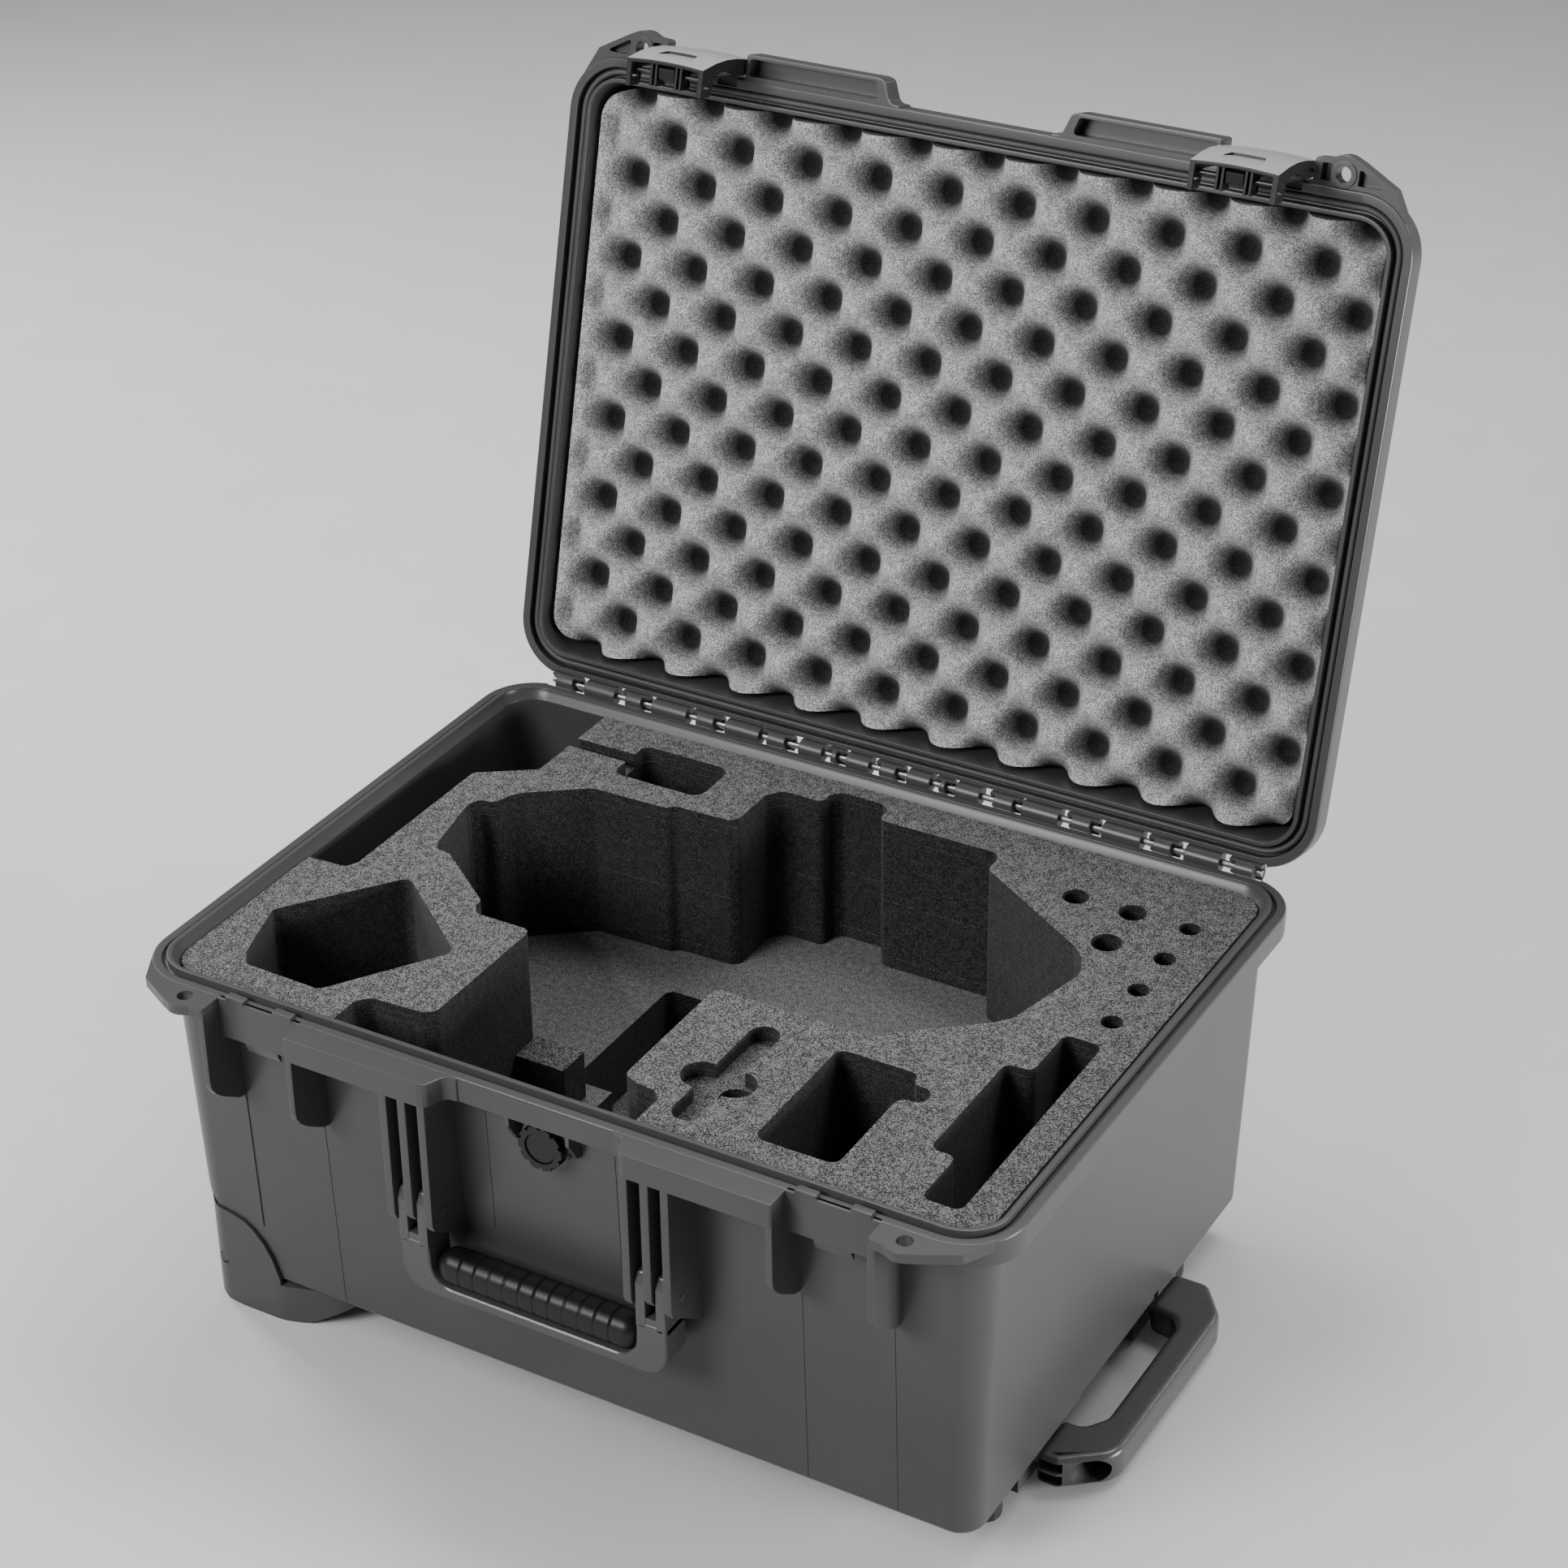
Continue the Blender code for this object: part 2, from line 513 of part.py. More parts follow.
# ---------------------------------------------------------------- front handle
def front_handle():
    """The folding carry handle: forked frame, ribbed grip and two pins."""
    y0, z0 = HANDLE_PIVOT
    low_x, high_x = HANDLE_RANGE_X
    front, back = -205.3 - y0, -185.0 - y0
    bottom = -141.5 - z0
    outer = rounded([(-high_x, bottom, 24), (high_x, bottom, 24), (high_x, 3.0, 0), (low_x, 3.0, 0),
                     (low_x, -45.0, 0), (-low_x, -45.0, 0), (-low_x, 3.0, 0), (-high_x, 3.0, 0)], 4)
    bar = part("handle_frame", prism([outer], front, back, "Y"), FITTING, HANDLE_FRAME)
    tip = [(front, 2.0), (front, 6.0), (-5.4, 12.8), (0.0, 14.5), (5.6, 13.0), (back, 6.0), (back, 2.0)]
    solids = ribs(tip, ((low_x, high_x),))
    solids += [boxes((-low_x - 1, low_x + 1), (-3.0, 5.0), (-46.0, -33.0))]
    boolean(bar, "UNION", solids)
    cuts = [boxes((72.2, 78.5), (front - 1, back + 1), (-18.5, 20)),
            boxes((-78.5, -72.2), (front - 1, back + 1), (-18.5, 20)),
            rod((0, 0), HANDLE_PIN_RADIUS + 0.4, -100, 100, "X", 12)]
    boolean(bar, "DIFFERENCE", cuts)
    height = (-44.6, -25.5)
    grip = part("handle_grip", boxes((-65.6, 65.6), (front + 0.2, back - 0.2), height), RUBBER, HANDLE_FRAME)
    bevel = grip.modifiers.new("round", "BEVEL")
    bevel.width = 5.0 * MM
    bevel.segments = 2
    bevel.limit_method = "ANGLE"
    boolean(grip, "DIFFERENCE", [boxes((-70, 70), (-3.3, 5.3), (-50, -32.7))])
    for side, label in ((-1, "left"), (1, "right")):
        pin = rod((0, 0), HANDLE_PIN_RADIUS, -15.2, 15.2, "X", 12)
        part(f"handle_pin_{label}", pin, STEEL, RIM_FRAME, (side * 75.2, y0, z0), 40)


def valve():
    """The pressure valve under the front flange: body through the wall, notched cap outside."""
    height = -31.0
    face = -wall_depth(height)
    body = part("valve_body", rod((0, 0), 15.0, -4.2, -0.9, "Y", 24), FITTING, RIM_FRAME,
                (0, face, height), 40)
    boolean(body, "UNION", [rod((0, 0), 7.0, -2.0, 3.0, "Y", 16)])
    notched = []
    for step in range(40):
        radius = 12.6 if step % 4 == 3 else 13.6
        angle = 2 * math.pi * step / 40
        notched.append((radius * math.cos(angle), radius * math.sin(angle)))
    part("valve_cap", prism([notched], -10.0, -4.5, "Y"), FITTING, RIM_FRAME, (0, face, height))


# ---------------------------------------------------------------- wheels
def turned_mesh(profile, steps, name):
    """A profile of (radius, y) points turned about Y by a Screw modifier, as a mesh."""
    bm = bmesh.new()
    verts = [bm.verts.new((radius * MM, 0, y * MM)) for radius, y in profile]
    for first, second in zip(verts, verts[1:] + verts[:1]):
        bm.edges.new((first, second))
    mesh = bpy.data.meshes.new(name)
    bm.to_mesh(mesh)
    bm.free()
    holder = bpy.data.objects.new(name, mesh)
    CASE.objects.link(holder)
    screw = holder.modifiers.new("turn", "SCREW")
    screw.steps = steps
    screw.render_steps = steps
    screw.use_merge_vertices = True
    screw.merge_threshold = 0.0001
    depsgraph = bpy.context.evaluated_depsgraph_get()
    turned = bpy.data.meshes.new_from_object(holder.evaluated_get(depsgraph))
    bpy.data.objects.remove(holder)
    turned.transform(Matrix.Rotation(math.radians(90), 4, "X"))
    bm = bmesh.new()
    bm.from_mesh(turned)
    return finish_mesh(bm, name)


def wheel_set(side, label):
    """Housing, screw, tyre, hub and axle at one left corner; side is -1 at the front."""
    under = BODY_BOTTOM - GAP
    outline = [*HOUSING_TOP, (HOUSING_TOP[-1][0], under), (-142.0, under), (-142.0, -208.5),
               *HOUSING_BELOW]
    corner = [HOUSING_TOP[0], HOUSING_TOP[1], (HOUSING_CORNER_X - GAP, -166.3),
              (HOUSING_CORNER_X - GAP, under - 1), (-247.0, under - 1)]
    below = [(-247.0, under), (-142.0, under), (-142.0, -208.5), *HOUSING_BELOW]
    cheek = prism([outline], *across(side, HOUSING_SEAT + GAP, HOUSING_FACE), "Y")
    housing = part(f"wheel_housing_{label}", cheek, SHELL, RIM_FRAME)
    boolean(housing, "UNION", [prism([below], *across(side, 134.0, HOUSING_FACE), "Y"),
                               prism([corner], *across(side, 160.6, HOUSING_FACE), "Y")])
    front = -HOUSING_FACE
    plan = rounded([(-247.0, front, 13), (-197.0, front, 30), (-158.0, front + 12, 30),
                    (-142.0, front + 32, 0), (-142.0, -134.0, 0), (-247.0, -134.0, 0)], 5)
    if side > 0:
        plan = [(x, -y) for x, y in plan]
    boolean(housing, "INTERSECT", [prism([plan], -240, -150)])
    axle_z = WHEEL_HEIGHT - RIM_HEIGHT
    screw_x, screw_z, screw_radius = HOUSING_SCREW
    boolean(housing, "DIFFERENCE", [boxes((-260, -201), across(side, 141.0, 169.0), (-240, -180.5)),
                                    rod((WHEEL_X, axle_z), AXLE_RADIUS + 0.4, *across(side, 130, 190),
                                        "Y", 16),
                                    rod((screw_x, screw_z), screw_radius + 0.5,
                                        *across(side, HOUSING_SEAT, 190), "Y", 16)])
    screw = rod((0, 0), screw_radius, *across(side, HOUSING_SEAT + GAP, HOUSING_FACE - 1.2), "Y", 16)
    part(f"housing_screw_{label}", screw, STEEL, RIM_FRAME, (screw_x, 0, screw_z), 40)

    centre = (WHEEL_X, side * WHEEL_Y, WHEEL_HEIGHT)
    half, rim = WHEEL_WIDTH / 2, 15.5
    tyre = [(rim + GAP, half - 1), (WHEEL_RADIUS - 3, half - 1), (WHEEL_RADIUS, half - 5),
            (WHEEL_RADIUS, 5 - half), (WHEEL_RADIUS - 3, 1 - half), (rim + GAP, 1 - half)]
    hub = [(AXLE_RADIUS + 0.3, half), (7.0, half), (8.0, half - 3), (12.5, half - 3), (rim, half - 1),
           (rim, 1 - half), (12.5, 3 - half), (8.0, 3 - half), (7.0, -half), (AXLE_RADIUS + 0.3, -half)]
    part(f"wheel_tyre_{label}", turned_mesh(tyre, 28, "tyre"), RUBBER, None, centre, 40)
    part(f"wheel_hub_{label}", turned_mesh(hub, 20, "hub"), FITTING, None, centre, 40)
    axle = rod((0, 0), AXLE_RADIUS, *across(side, 137.4, HOUSING_FACE - 0.8), "Y", 16)
    part(f"wheel_axle_{label}", axle, STEEL, None, (WHEEL_X, 0, WHEEL_HEIGHT), 40)


# ---------------------------------------------------------------- trolley
def trolley():
    """Grip, two sliding tubes, and the cover with their tunnels under the case."""
    low_z, high_z = GRIP_HEIGHTS
    plan = rounded([(246.0, -93.0, 0), (259.0, -93.0, 6), (285.5, -72.0, 16), (285.5, 64.0, 16),
                    (268.0, 87.0, 8), (246.0, 87.0, 0), (246.0, 53.0, 0), (262.0, 50.0, 6),
                    (267.0, 42.0, 6), (267.0, -46.0, 8), (258.0, -59.0, 8), (246.0, -59.0, 0)], 4)
    grip = part("trolley_grip", prism([plan], low_z, high_z), FITTING)
    bevel = grip.modifiers.new("round", "BEVEL")
    bevel.width = 3.0 * MM
    bevel.segments = 2
    bevel.limit_method = "ANGLE"
    bevel.angle_limit = math.radians(60)
    half = TUBE_SIZE / 2 + 0.4
    sockets = [boxes((240, 263), (y - half, y + half), (TROLLEY_HEIGHT - half, TROLLEY_HEIGHT + half))
               for y in TUBE_Y]
    teardrop = prism([rounded([(262.0, 7.0, 1), (262.0, 21.0, 1), (276.0, 21.0, 6), (280.0, 14.0, 3),
                               (276.0, 8.0, 4)])], -100, -79, "Y")
    boolean(grip, "DIFFERENCE", sockets + [teardrop])
    size = TUBE_SIZE / 2
    section = rounded([(-size, -size, 2.5), (size, -size, 2.5), (size, size, 2.5), (-size, size, 2.5)])
    for y, label in zip(TUBE_Y, ("front", "rear")):
        tube = prism([section], -185.0, 262.0, "X")
        part(f"trolley_tube_{label}", tube, ALUMINIUM, None, (0, y, TROLLEY_HEIGHT), 40)
    cover = part("trolley_cover", boxes((-200, 228), (-112, 103), (0, RIM_HEIGHT + BODY_BOTTOM - GAP)), FITTING)
    guides = [boxes((220, 242), y_range, (3.9, 25)) for y_range in ((-105, -50), (41, 99))]
    boolean(cover, "UNION", guides)
    tunnels = [boxes((-190, 250), (y - half, y + half), (TROLLEY_HEIGHT - half, TROLLEY_HEIGHT + half))
               for y in TUBE_Y]
    boolean(cover, "DIFFERENCE", tunnels)
    foot = rounded([(212, -18, 4), (240, -18, 8), (240, 0, 8), (212, 0, 4)])
    for y, label in ((-113.0, "front"), (122.0, "rear")):
        pad = prism([foot], 0, RIM_HEIGHT + BODY_BOTTOM - GAP)
        part(f"foot_{label}", pad, RUBBER, None, (0, y, 0))


# ---------------------------------------------------------------- foam
# Outlines in plan on the foam's top, (x, y); the drone's pocket opens to the front edge
NECK_RIGHT = 51.7
NECK_LEFT = -140.7
DRONE_OUTLINE = [(NECK_LEFT, -156.5), (-134.3, -149.5), (-101.8, -147.5), (-96, -143.5), (-96, -50.5),
                 (-133.3, -50.5), (-138, -43.5), (-138, -38), (-183, -4.5), (-193, -3.7), (-196.5, 3),
                 (-205, 44.5), (-205, 49.5), (-202, 55), (-193, 56.5), (-188.7, 68.5), (-184.5, 74),
                 (-157, 94.5), (-150, 99), (-99.5, 100.5), (-96.5, 105), (-60.5, 106), (-55.5, 110.5),
                 (-55.5, 142.5), (-48.5, 151), (-22, 151), (-22, 161), (-16.5, 166.5), (10.5, 166.5),
                 (17, 161.5), (17, 149.5), (93.5, 149.5), (98, 146.5), (99, 131), (177.5, 82.5),
                 (186, 74), (191.5, 62), (192, 55), (179.5, 1.5), (171.5, -7), (129.5, -41.5),
                 (122.5, -50.5), (24.7, -50.5), (24.7, -143), (34.5, -147.5), (46.5, -148.5),
                 (NECK_RIGHT, -153.5)]
REAR_LEFT_CUT = [(-191, 102.5), (-224, 79.7), (-224, -38), (-227.6, -45.5)]
SMALL_POCKET = [(-150, 120.4), (-89, 120.4), (-89, 157.7), (-150, 157.7)]
CHANNEL = ((-191, -149), (135.5, 145.5))
TRAPEZOID = [(-188, -37.5), (-120.7, -90), (-165, -156.5), (-215.6, -155.5), (-223, -145), (-236.3, -103)]
KEY_SLOT = (62.0, 80.0, -164.0, -68.5)
KEY_DISCS = ((60.0, -124.0, 11.5), (80.5, -123.5, 12.0))
SQUARE_POCKET = [(112, -159), (161, -159), (161, -92), (174.7, -92), (174.7, -78), (161, -78),
                 (161, -68.5), (112, -68.5)]
BAR_POCKET = [(211, -162.3), (233.7, -162.3), (233.7, 1.5), (211, 1.5), (211, -37.5), (195.5, -37.5),
              (195.5, -123.4), (211, -123.4)]
ROUND_HOLES = ((155.8, 129, 7.8), (191.3, 129, 8.2), (226.5, 129, 6.3), (191.7, 94, 9),
               (226.8, 94.5, 6.5), (227.2, 59.4, 6.3), (227.9, 24.5, 6.3))


def foam_outline(half_x, channel):
    """A base foam layer's outline with the drone's pocket and the rear left cut-out."""
    half_y = half_x - DEPTH_OFFSET
    radius = 18.0
    right = arc((half_x - radius, radius - half_y), radius, -90, 0, 3)
    rear = arc((half_x - radius, half_y - radius), radius, 0, 90, 3)
    left = arc((radius - half_x, radius - half_y), radius, 180, 270, 3)
    inlet = []
    if channel:
        (x0, x1), (y0, y1) = CHANNEL
        inlet = [(x0, y1), (-150, y1), SMALL_POCKET[3], SMALL_POCKET[2], SMALL_POCKET[1],
                 SMALL_POCKET[0], (-150, y0), (x0, y0)]
    return ([(NECK_RIGHT, -half_y)] + right + rear + [(-191, half_y)] + inlet + REAR_LEFT_CUT
            + [(-half_x, -47)] + left + [(NECK_LEFT, -half_y)] + DRONE_OUTLINE)


# Trench below the aircraft pocket's floor, for the camera under the aircraft
TRENCH = rounded([(-79.1, -41.0, 0), (-52.3, -41.0, 0), (-52.3, -150.0, 4), (-20.0, -150.0, 4),
                  (-20.0, 64.7, 5), (-79.1, 64.7, 6)])
TRENCH_FLOOR = -148.2


def key_outline():
    """A slot with a disc to each side, as one outline."""
    low_x, high_x, low_y, high_y = KEY_SLOT
    centre, half = (low_x + high_x) / 2, (high_x - low_x) / 2
    top = arc((centre, high_y - half), half, 0, 180, 6)
    bottom = arc((centre, low_y + half), half, 180, 360, 6)
    (lx, ly, lr), (rx, ry, rr) = KEY_DISCS
    left = arc((lx, ly), lr, 80, 280, 6)
    right = arc((rx, ry), rr, -95, 95, 6)
    return top + left + bottom + right


def foam_layer(name, holes):
    """One sheet of base foam, cut right through."""
    low, high, half_x = FOAM_LAYERS[name]
    outline = foam_outline(half_x, name == "foam_top_sheet")
    return part(name, prism([outline] + holes, low, high), FOAM, RIM_FRAME)


def base_foam():
    """The stack of foam sheets in the base."""
    rounds = [circle_outline((x, y), r, 12) for x, y, r in ROUND_HOLES]
    open_pockets = [TRAPEZOID, SQUARE_POCKET, BAR_POCKET]
    foam_layer("foam_top_sheet", open_pockets + [key_outline()] + rounds)
    key_holes = [circle_outline((x, y), r - 2.5, 10) for x, y, r in KEY_DISCS]
    foam_layer("foam_upper", open_pockets + [SMALL_POCKET] + key_holes[1:] + rounds)
    foam_layer("foam_middle", open_pockets)
    foam_layer("foam_lower", [])
    low, high, half_x = FOAM_LAYERS["foam_floor"]
    plate = rounded_rectangle(half_x, half_x - DEPTH_OFFSET, 18.0, 3)
    part("foam_floor", prism([plate, TRENCH], low, high), FOAM, RIM_FRAME)
    low, high, half_x = FOAM_LAYERS["foam_base"]
    half_y = half_x - DEPTH_OFFSET
    plan = rounded([(half_x, -half_y, 12), (half_x, -52, 0), (236.5, -52, 0), (236.5, 62, 0),
                    (half_x, 62, 0), (half_x, half_y, 12), (-196, half_y, 0), (-196, 137, 0),
                    (-half_x, 137, 0), (-half_x, -137, 0), (-196, -137, 0), (-196, -half_y, 0)])
    bottom = part("foam_base", prism([plan], low, high), FOAM, RIM_FRAME)
    boolean(bottom, "DIFFERENCE", [prism([TRENCH], TRENCH_FLOOR, -120)])
    block = boxes((-95.6, -63), (-73.5, -50.8), (POCKET_FLOOR + GAP, -74))
    part("foam_ledge_block", block, FOAM, RIM_FRAME)


# Lid foam: period of the egg-crate lattice and its heights below the shut lid's ceiling
CRATE_PERIOD_X, CRATE_PERIOD_Y = 46.54, 50.37
CRATE_HOLLOW = (-228.5, 179.1)
CRATE_PEAK, CRATE_VALLEY, CRATE_BACK = 4.0, 34.0, 50.4
LID_FOAM_HALF = 250.0


def crate_height(x, y):
    """Height of the egg-crate surface, drawn in the shut lid."""
    across = math.cos(2 * math.pi * (x - CRATE_HOLLOW[0]) / CRATE_PERIOD_X)
    along = math.cos(2 * math.pi * (y - CRATE_HOLLOW[1]) / CRATE_PERIOD_Y)
    return CRATE_PEAK + (CRATE_VALLEY - CRATE_PEAK) * (across * along + 1) / 2


def inside_corner(x, y, radius=20.0):
    """The point pulled in to the arc where it lies past a round corner of the pad."""
    past_x = abs(x) - (LID_FOAM_HALF - radius)
    past_y = abs(y) - (LID_FOAM_HALF - DEPTH_OFFSET - radius)
    distance = math.hypot(past_x, past_y)
    if past_x <= 0 or past_y <= 0 or distance <= radius:
        return x, y
    excess = 1 - radius / distance
    return x - math.copysign(past_x * excess, x), y - math.copysign(past_y * excess, y)


def lid_foam():
    """The convoluted pad in the lid, four points to each wave."""
    half_x, half_y = LID_FOAM_HALF, LID_FOAM_HALF - DEPTH_OFFSET
    columns, rows = 44, 28
    bm = bmesh.new()
    bmesh.ops.create_grid(bm, x_segments=columns, y_segments=rows, size=0.5)
    for vert in bm.verts:
        x, y = inside_corner(vert.co.x * 2 * half_x, vert.co.y * 2 * half_y)
        vert.co = Vector((x, y, crate_height(x, y))) * MM
    border = [edge for edge in bm.edges if edge.is_boundary]
    skirt = bmesh.ops.extrude_edge_only(bm, edges=border)["geom"]
    for vert in (item for item in skirt if isinstance(item, bmesh.types.BMVert)):
        vert.co.z = (CRATE_BACK - 3.0) * MM
        vert.co.x *= 0.992
        vert.co.y *= 0.99
    bmesh.ops.contextual_create(bm, geom=[edge for edge in bm.edges if edge.is_boundary])
    part("lid_foam", finish_mesh(bm, "lid_foam"), FOAM, LID_FRAME)


base_shell()
lid_shell()
rim_and_hinge()
for latch_side, latch_label in ((-1, "left"), (1, "right")):
    latch(latch_side, latch_label)
front_handle()
valve()
for wheel_side, wheel_label in ((-1, "front"), (1, "rear")):
    wheel_set(wheel_side, wheel_label)
trolley()
base_foam()
lid_foam()
add_booleans()
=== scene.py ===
"""Looks for the open drone carrying case: shells, latches, handle, trolley and foam as fine pieces.

Sizes are in millimetres and become metres when a mesh is made. Base pieces are drawn in the rim
frame, whose z = 0 is the plane where lid and base meet; lid pieces are drawn as if the lid were
shut and are then turned open about the hinge.
"""
import math

import bmesh
import bpy
from mathutils import Matrix, Vector


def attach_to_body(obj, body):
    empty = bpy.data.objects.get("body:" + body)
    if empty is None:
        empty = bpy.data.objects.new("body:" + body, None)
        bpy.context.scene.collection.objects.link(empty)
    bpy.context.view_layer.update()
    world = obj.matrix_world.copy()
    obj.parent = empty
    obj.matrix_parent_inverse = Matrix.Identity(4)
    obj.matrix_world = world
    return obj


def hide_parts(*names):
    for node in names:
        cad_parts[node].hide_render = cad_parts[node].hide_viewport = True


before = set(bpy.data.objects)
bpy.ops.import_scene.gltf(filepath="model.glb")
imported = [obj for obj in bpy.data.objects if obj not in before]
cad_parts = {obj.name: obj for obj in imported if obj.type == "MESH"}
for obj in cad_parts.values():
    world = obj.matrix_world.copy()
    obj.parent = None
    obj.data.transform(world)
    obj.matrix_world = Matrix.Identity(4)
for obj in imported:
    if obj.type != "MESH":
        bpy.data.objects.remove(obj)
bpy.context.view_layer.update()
MM = 0.001

# ---------------------------------------------------------------- driving dimensions
RIM_HEIGHT = 232.0
DEPTH_OFFSET = 76.0
WALL_HALF_WIDTH = 256.8
WALL_DRAFT = math.tan(math.radians(1.93))
CORNER_CENTRE = 234.8
CORNER_STEPS = 14
BODY_BOTTOM, FLOOR_TOP = -206.65, -203.2
HINGE_Y, HINGE_Z, OPEN_ANGLE = 196.24, 1.34, 104.3
HINGE_HALF_LENGTH, HINGE_FLANGE_Y, KNUCKLE_RADIUS = 243.0, 190.1, 5.7
LID_TOP, LID_CEILING, LID_RIM = 54.0, 50.8, 0.5
LATCH_X, LATCH_HALF_WIDTH, LATCH_PIVOT = 178.0, 25.6, (-199.8, 7.0)
HANDLE_PIVOT = (-196.6, -89.5)
RECESS_FRONT = -193.6

CAMERA_AZIMUTH, CAMERA_ELEVATION, CAMERA_ROLL = 30.32, 30.37, -0.75    # degrees
CAMERA_DISTANCE, CAMERA_SIDEWAYS, CAMERA_UPWARDS = 1.96333, 0.03474, 0.08003    # metres
CAMERA_LENS, CAMERA_SENSOR = 80.59, 36.0
FLOOR_SIZE = 6.0
# each light's place, target and size in metres, and its power in watts
LIGHTS = {"key": ((-0.9, -2.3, 1.7), (0, 0, 0.25), (1.2, 0.9), 66),
          "top": ((0.1, 0.9, 2.2), (0, 0.0, 0.2), (2.0, 0.8), 42),
          "side": ((2.2, 0.3, 0.4), (0.2, 0, 0.10), (1.0, 0.6), 60),
          "edge": ((-1.9, 0.6, 1.3), (0, 0, 0.2), (0.6, 1.4), 30),
          "front_strip": ((-1.1, -1.35, 2.0), (0, 0, 0.25), (1.8, 0.07), 17),
          "side_strip": ((1.35, 1.9, 1.3), (0, 0, 0.25), (1.6, 0.07), 10)}
SURROUND_COLOUR, SURROUND_STRENGTH = (0.85, 0.86, 0.88, 1), 0.17

RIM_FRAME = Matrix.Translation((0, 0, RIM_HEIGHT * MM))
TO_HINGE = Matrix.Translation((0, HINGE_Y * MM, HINGE_Z * MM))
LID_FRAME = RIM_FRAME @ TO_HINGE @ Matrix.Rotation(math.radians(-OPEN_ANGLE), 4, "X") @ TO_HINGE.inverted()
FLOOR_FRAME = Matrix.Identity(4)


# ---------------------------------------------------------------- camera, floor and lights
def make_camera():
    """The viewpoint: from the front, to the right and above."""
    azimuth, elevation, roll = (math.radians(angle) for angle in
                                (CAMERA_AZIMUTH, CAMERA_ELEVATION, CAMERA_ROLL))
    back = Vector((math.sin(azimuth) * math.cos(elevation),
                   -math.cos(azimuth) * math.cos(elevation), math.sin(elevation)))
    right = Vector((math.cos(azimuth), math.sin(azimuth), 0))
    up = back.cross(right)
    place = back * CAMERA_DISTANCE + right * CAMERA_SIDEWAYS + up * CAMERA_UPWARDS
    place += Vector((0, 0, RIM_HEIGHT * MM))
    rolled_right = right * math.cos(roll) + up * math.sin(roll)
    rolled_up = up * math.cos(roll) - right * math.sin(roll)
    data = bpy.data.cameras.new("camera")
    data.lens = CAMERA_LENS
    data.sensor_width = CAMERA_SENSOR
    camera = bpy.data.objects.new("camera", data)
    bpy.context.scene.collection.objects.link(camera)
    turn = Matrix((rolled_right, rolled_up, back)).transposed().to_4x4()
    camera.matrix_world = Matrix.Translation(place) @ turn
    bpy.context.scene.camera = camera


def area_light(name, place, target, size, power):
    """A soft box aimed at a point."""
    data = bpy.data.lights.new(name, "AREA")
    data.shape = "RECTANGLE"
    data.size, data.size_y = size
    data.energy = power
    lamp = bpy.data.objects.new(name, data)
    bpy.context.scene.collection.objects.link(lamp)
    aim = Vector(target) - Vector(place)
    lamp.matrix_world = Matrix.Translation(place) @ aim.to_track_quat("-Z", "Y").to_matrix().to_4x4()


def make_studio():
    """Pale floor, soft boxes and a dim surround."""
    bm = bmesh.new()
    bmesh.ops.create_grid(bm, x_segments=1, y_segments=1, size=FLOOR_SIZE)
    pale = node_material("studio_floor", 0.60, 0.9, mottle=0.015, grain=(60, 0.0))
    store("studio_floor", bm, pale, FLOOR_FRAME)
    for name, (place, target, size, power) in LIGHTS.items():
        area_light(name, place, target, size, power)
    world = bpy.data.worlds.new("studio")
    world.use_nodes = True
    background = world.node_tree.nodes["Background"]
    background.inputs["Color"].default_value = SURROUND_COLOUR
    background.inputs["Strength"].default_value = SURROUND_STRENGTH
    bpy.context.scene.world = world


# ---------------------------------------------------------------- materials
def link_noise(nodes, links, coordinates, scale, detail=2.0):
    """A noise texture in object space, in cycles per metre."""
    noise = nodes.new("ShaderNodeTexNoise")
    noise.inputs["Scale"].default_value = scale
    noise.inputs["Detail"].default_value = detail
    links.new(coordinates.outputs["Object"], noise.inputs["Vector"])
    return noise


def node_material(name, grey, roughness, tint=(1.0, 1.0, 1.02), mottle=0.12, grain=(900, 0.05),
                  metallic=0.0, specular=0.5, coat=0.0):
    """Moulded plastic, rubber or metal: slow mottling in colour and roughness, fine grain as bump."""
    made = bpy.data.materials.new(name)
    made.use_nodes = True
    nodes, links = made.node_tree.nodes, made.node_tree.links
    shader = nodes["Principled BSDF"]
    shader.inputs["Metallic"].default_value = metallic
    shader.inputs["Specular IOR Level"].default_value = specular
    shader.inputs["Coat Weight"].default_value = coat
    coordinates = nodes.new("ShaderNodeTexCoord")
    slow = link_noise(nodes, links, coordinates, 14.0, 4.0)
    ramp = nodes.new("ShaderNodeValToRGB")
    for stop, factor in zip(ramp.color_ramp.elements, (1 - mottle, 1 + mottle)):
        stop.color = (*(grey * factor * channel for channel in tint), 1)
    ramp.color_ramp.elements[0].position, ramp.color_ramp.elements[1].position = 0.35, 0.65
    links.new(slow.outputs["Fac"], ramp.inputs["Fac"])
    links.new(ramp.outputs["Color"], shader.inputs["Base Color"])
    fine = link_noise(nodes, links, coordinates, grain[0])
    spread = nodes.new("ShaderNodeMapRange")
    spread.inputs["To Min"].default_value = roughness - 0.06
    spread.inputs["To Max"].default_value = roughness + 0.06
    links.new(fine.outputs["Fac"], spread.inputs["Value"])
    links.new(spread.outputs["Result"], shader.inputs["Roughness"])
    if grain[1]:
        bump = nodes.new("ShaderNodeBump")
        bump.inputs["Strength"].default_value = grain[1]
        bump.inputs["Distance"].default_value = 0.0006
        links.new(fine.outputs["Fac"], bump.inputs["Height"])
        links.new(bump.outputs["Normal"], shader.inputs["Normal"])
    made.diffuse_color = (grey, grey, grey, 1)
    return made


